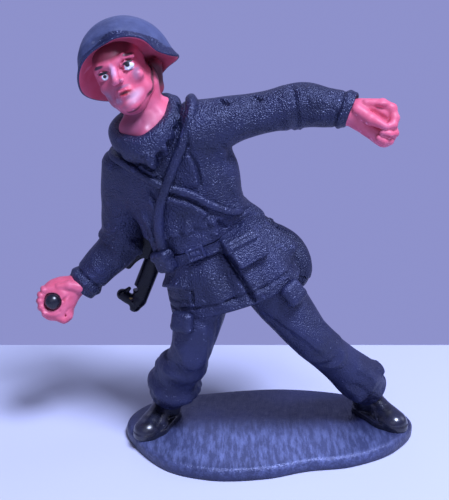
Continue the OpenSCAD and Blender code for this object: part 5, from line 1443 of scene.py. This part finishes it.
def stock_field(q):
    d = rod(q, (-0.2, 0, 2.6), (-0.1, 0, 10.0), 1.15, 1.15)
    d = join(d, block(q, (-0.25, 0, 6.4), (1.25, 0.95, 4.0), 0.5), 0.4)
    d = join(d, rod(q, (-0.3, 0, 2.5), (-0.5, 0, 1.4), 1.2, 1.05), 0.4)
    d = join(d, rod(q, (-0.9, 0, 4.6), (-0.7, 0, 10.2), 1.0, 1.2), 0.4)
    d = join(d, rod(q, (-0.5, 0, 1.9), (-3.1, 0, 2.6), 0.95, 0.95), 0.3)
    d = join(d, rod(q, (-2.9, 0, 2.8), (-2.4, 0, 4.0), 0.6, 0.32), 0.2)
    d = carve(d, rod(q, (-1.5, -1.4, 4.6), (-1.5, 1.4, 4.6), 0.4, 0.4), 0.3)
    d = carve(d, rod(q, (-1.7, -1.4, 0.8), (-1.7, 1.4, 0.8), 0.5, 0.5), 0.3)
    for z in (0.9, 1.5, 2.1):
        d = carve(d, rod(q, (-1.6, -1.15, z), (1.9, -1.15, z), 0.1, 0.1), 0.1)
    return join(d, rod(q, (-0.9, -1.0, 2.3), (-0.9, 1.0, 2.3), 0.32, 0.32), 0.1)


def body_field(q):
    mid = (BODY_FROM + BODY_TO) / 2
    d = block(q, (0, 0, mid), (1.25, 1.28, (BODY_TO - BODY_FROM) / 2), 0.45)
    d = join(d, rod(q, (0.35, 0, BODY_FROM + 1), (0.35, 0, BODY_TO - 0.5), 1.0, 1.0), 0.3)
    # the housing of the trigger and the hand guard stands out on the magazine's side
    d = join(d, block(q, (-1.9, 0, BODY_FROM + 4.2), (1.9, 0.95, 4.2), 0.5), 0.4)
    d = carve(d, block(q, (0.2, 1.35, mid + 1.5), (0.55, 0.4, 2.4), 0.2), 0.15)
    d = join(d, rod(q, (0.5, 1.2, mid + 3.4), (0.5, 2.2, mid + 3.4), 0.3, 0.4), 0.1)
    for z in (mid - 3.5, mid - 2.7, mid - 1.9):
        d = carve(d, rod(q, (-1.5, 1.35, z), (1.5, 1.35, z), 0.1, 0.1), 0.1)
    return d


def magazine_field(q):
    bend = [(-0.6, 0, 11.0), (-2.4, 0, 10.6), (-3.4, 0, 9.4), (-3.9, 0, 7.8)]
    d = chain(q, bend, [0.62, 0.62, 0.6, 0.55], 0.3)
    d = np.maximum(d, np.abs(q[:, 1]) - 0.52) - 0.06
    for z in (8.3, 9.0, 9.7):
        for y in (-0.62, 0.62):
            d = carve(d, rod(q, (-4.6, y, z + 0.25), (-2.4, y, z - 0.25), 0.09, 0.09), 0.08)
    return d


def barrel_field(q):
    r, z = np.sqrt(q[:, 0] ** 2 + q[:, 1] ** 2), q[:, 2]
    d = np.maximum(r - 0.62, np.abs(z - (BODY_TO + GUN_LEN) / 2) - (GUN_LEN - BODY_TO) / 2)
    # the ribs of the cooling sleeve, the foresight and the muzzle
    for k in range(6):
        d = join(d, np.maximum(r - 0.8, np.abs(z - BODY_TO - 1.0 - 1.1 * k) - 0.28), 0.1)
    d = join(d, block(q, (0, 0.75, GUN_LEN - 1.5), (0.22, 0.5, 0.4), 0.1), 0.15)
    d = join(d, np.maximum(r - 0.75, np.abs(z - GUN_LEN + 0.45) - 0.45), 0.1)
    return carve(d, rod(q, (0, 0, GUN_LEN - 0.6), (0, 0, GUN_LEN + 1), 0.28, 0.28), 0.05)


gun_piece("gun_butt", "gun_stock", stock_field, 0.5, 10.5, 4.4)
gun_piece("gun_receiver", "gun_body", body_field, 10, 24.6, 3.4)
gun_piece("gun_clip", "gun_magazine", magazine_field, 7, 12, 5.4, 0.14)
gun_piece("gun_muzzle", "gun_barrel", barrel_field, 24.3, 36.2, 1.6, 0.12)

# Room, light and camera

PAPER = (0.58, 0.59, 0.78)
WALL, SKY, SKY_LIGHT = (0.27, 0.285, 0.6, 1), (0.62, 0.66, 1.0, 1), 0.15


def make_floor():
    """A sheet of pale paper that ends a little behind the figure."""
    front, back, side = -0.6, 0.036, 1.2
    mesh = bpy.data.meshes.new("floor_paper")
    corners = [(-side, front, 0), (side, front, 0), (side, back, 0), (-side, back, 0)]
    mesh.from_pydata(corners, [], [(0, 1, 2, 3)])
    paper = bpy.data.materials.new("floor_paper")
    paper.use_nodes = True
    shader = paper.node_tree.nodes["Principled BSDF"]
    for name, value in (("Base Color", PAPER), ("Roughness", 0.85), ("Specular IOR Level", 0.2)):
        fill(paper.node_tree, shader.inputs[name], value)
    mesh.materials.append(paper)
    obj = link_object("floor_paper", mesh)


make_floor()


def lamp(name, at, size, power, colour):
    """A soft light aimed at the middle of the figure."""
    data = bpy.data.lights.new(name, "AREA")
    data.shape = "RECTANGLE"
    data.size, data.size_y = size
    data.energy = power
    data.color = colour
    obj = link_object(name, data)
    obj.location = at
    obj.rotation_euler = (Vector((0, 0, 0.035)) - Vector(at)).to_track_quat("-Z", "Y").to_euler()


lamp("key", (0.12, -0.16, 0.42), (0.14, 0.12), 3.5, (0.64, 0.72, 1.0))
lamp("front", (-0.12, -0.42, 0.30), (0.35, 0.25), 0.2, (0.7, 0.76, 1.0))
lamp("side", (0.4, 0.1, 0.25), (0.2, 0.2), 0.35, (0.68, 0.74, 1.0))
lamp("back", (-0.08, 0.38, 0.3), (0.3, 0.2), 0.12, (0.68, 0.74, 1.0))


def make_world():
    """A faint violet light from all round; the camera and reflections see the violet wall instead."""
    studio = bpy.data.worlds.new("studio")
    studio.use_nodes = True
    tree = studio.node_tree
    sky, wall = tree.nodes["Background"], tree.nodes.new("ShaderNodeBackground")
    for shader, colour, strength in ((sky, SKY, SKY_LIGHT), (wall, WALL, 1.0)):
        shader.inputs["Color"].default_value = colour
        shader.inputs["Strength"].default_value = strength
    path = tree.nodes.new("ShaderNodeLightPath")
    seen = path.outputs["Is Camera Ray"]
    for ray in ("Is Glossy Ray", "Is Transmission Ray"):
        either = tree.nodes.new("ShaderNodeMath")
        either.operation = "MAXIMUM"
        tree.links.new(seen, either.inputs[0])
        tree.links.new(path.outputs[ray], either.inputs[1])
        seen = either.outputs[0]
    both = tree.nodes.new("ShaderNodeMixShader")
    for place, output in enumerate((seen, sky.outputs[0], wall.outputs[0])):
        tree.links.new(output, both.inputs[place])
    tree.links.new(both.outputs[0], tree.nodes["World Output"].inputs["Surface"])
    bpy.context.scene.world = studio


make_world()

cam_data = bpy.data.cameras.new("camera")
cam_data.lens, cam_data.sensor_width = 72, 36
cam_data.clip_start, cam_data.clip_end = 0.005, 10
camera = link_object("camera", cam_data)
camera.location = CAMERA_AT
camera.rotation_euler = (rad(90 - CAMERA_DOWN), 0, 0)
bpy.context.scene.camera = camera
bpy.context.scene.view_settings.view_transform = "Standard"
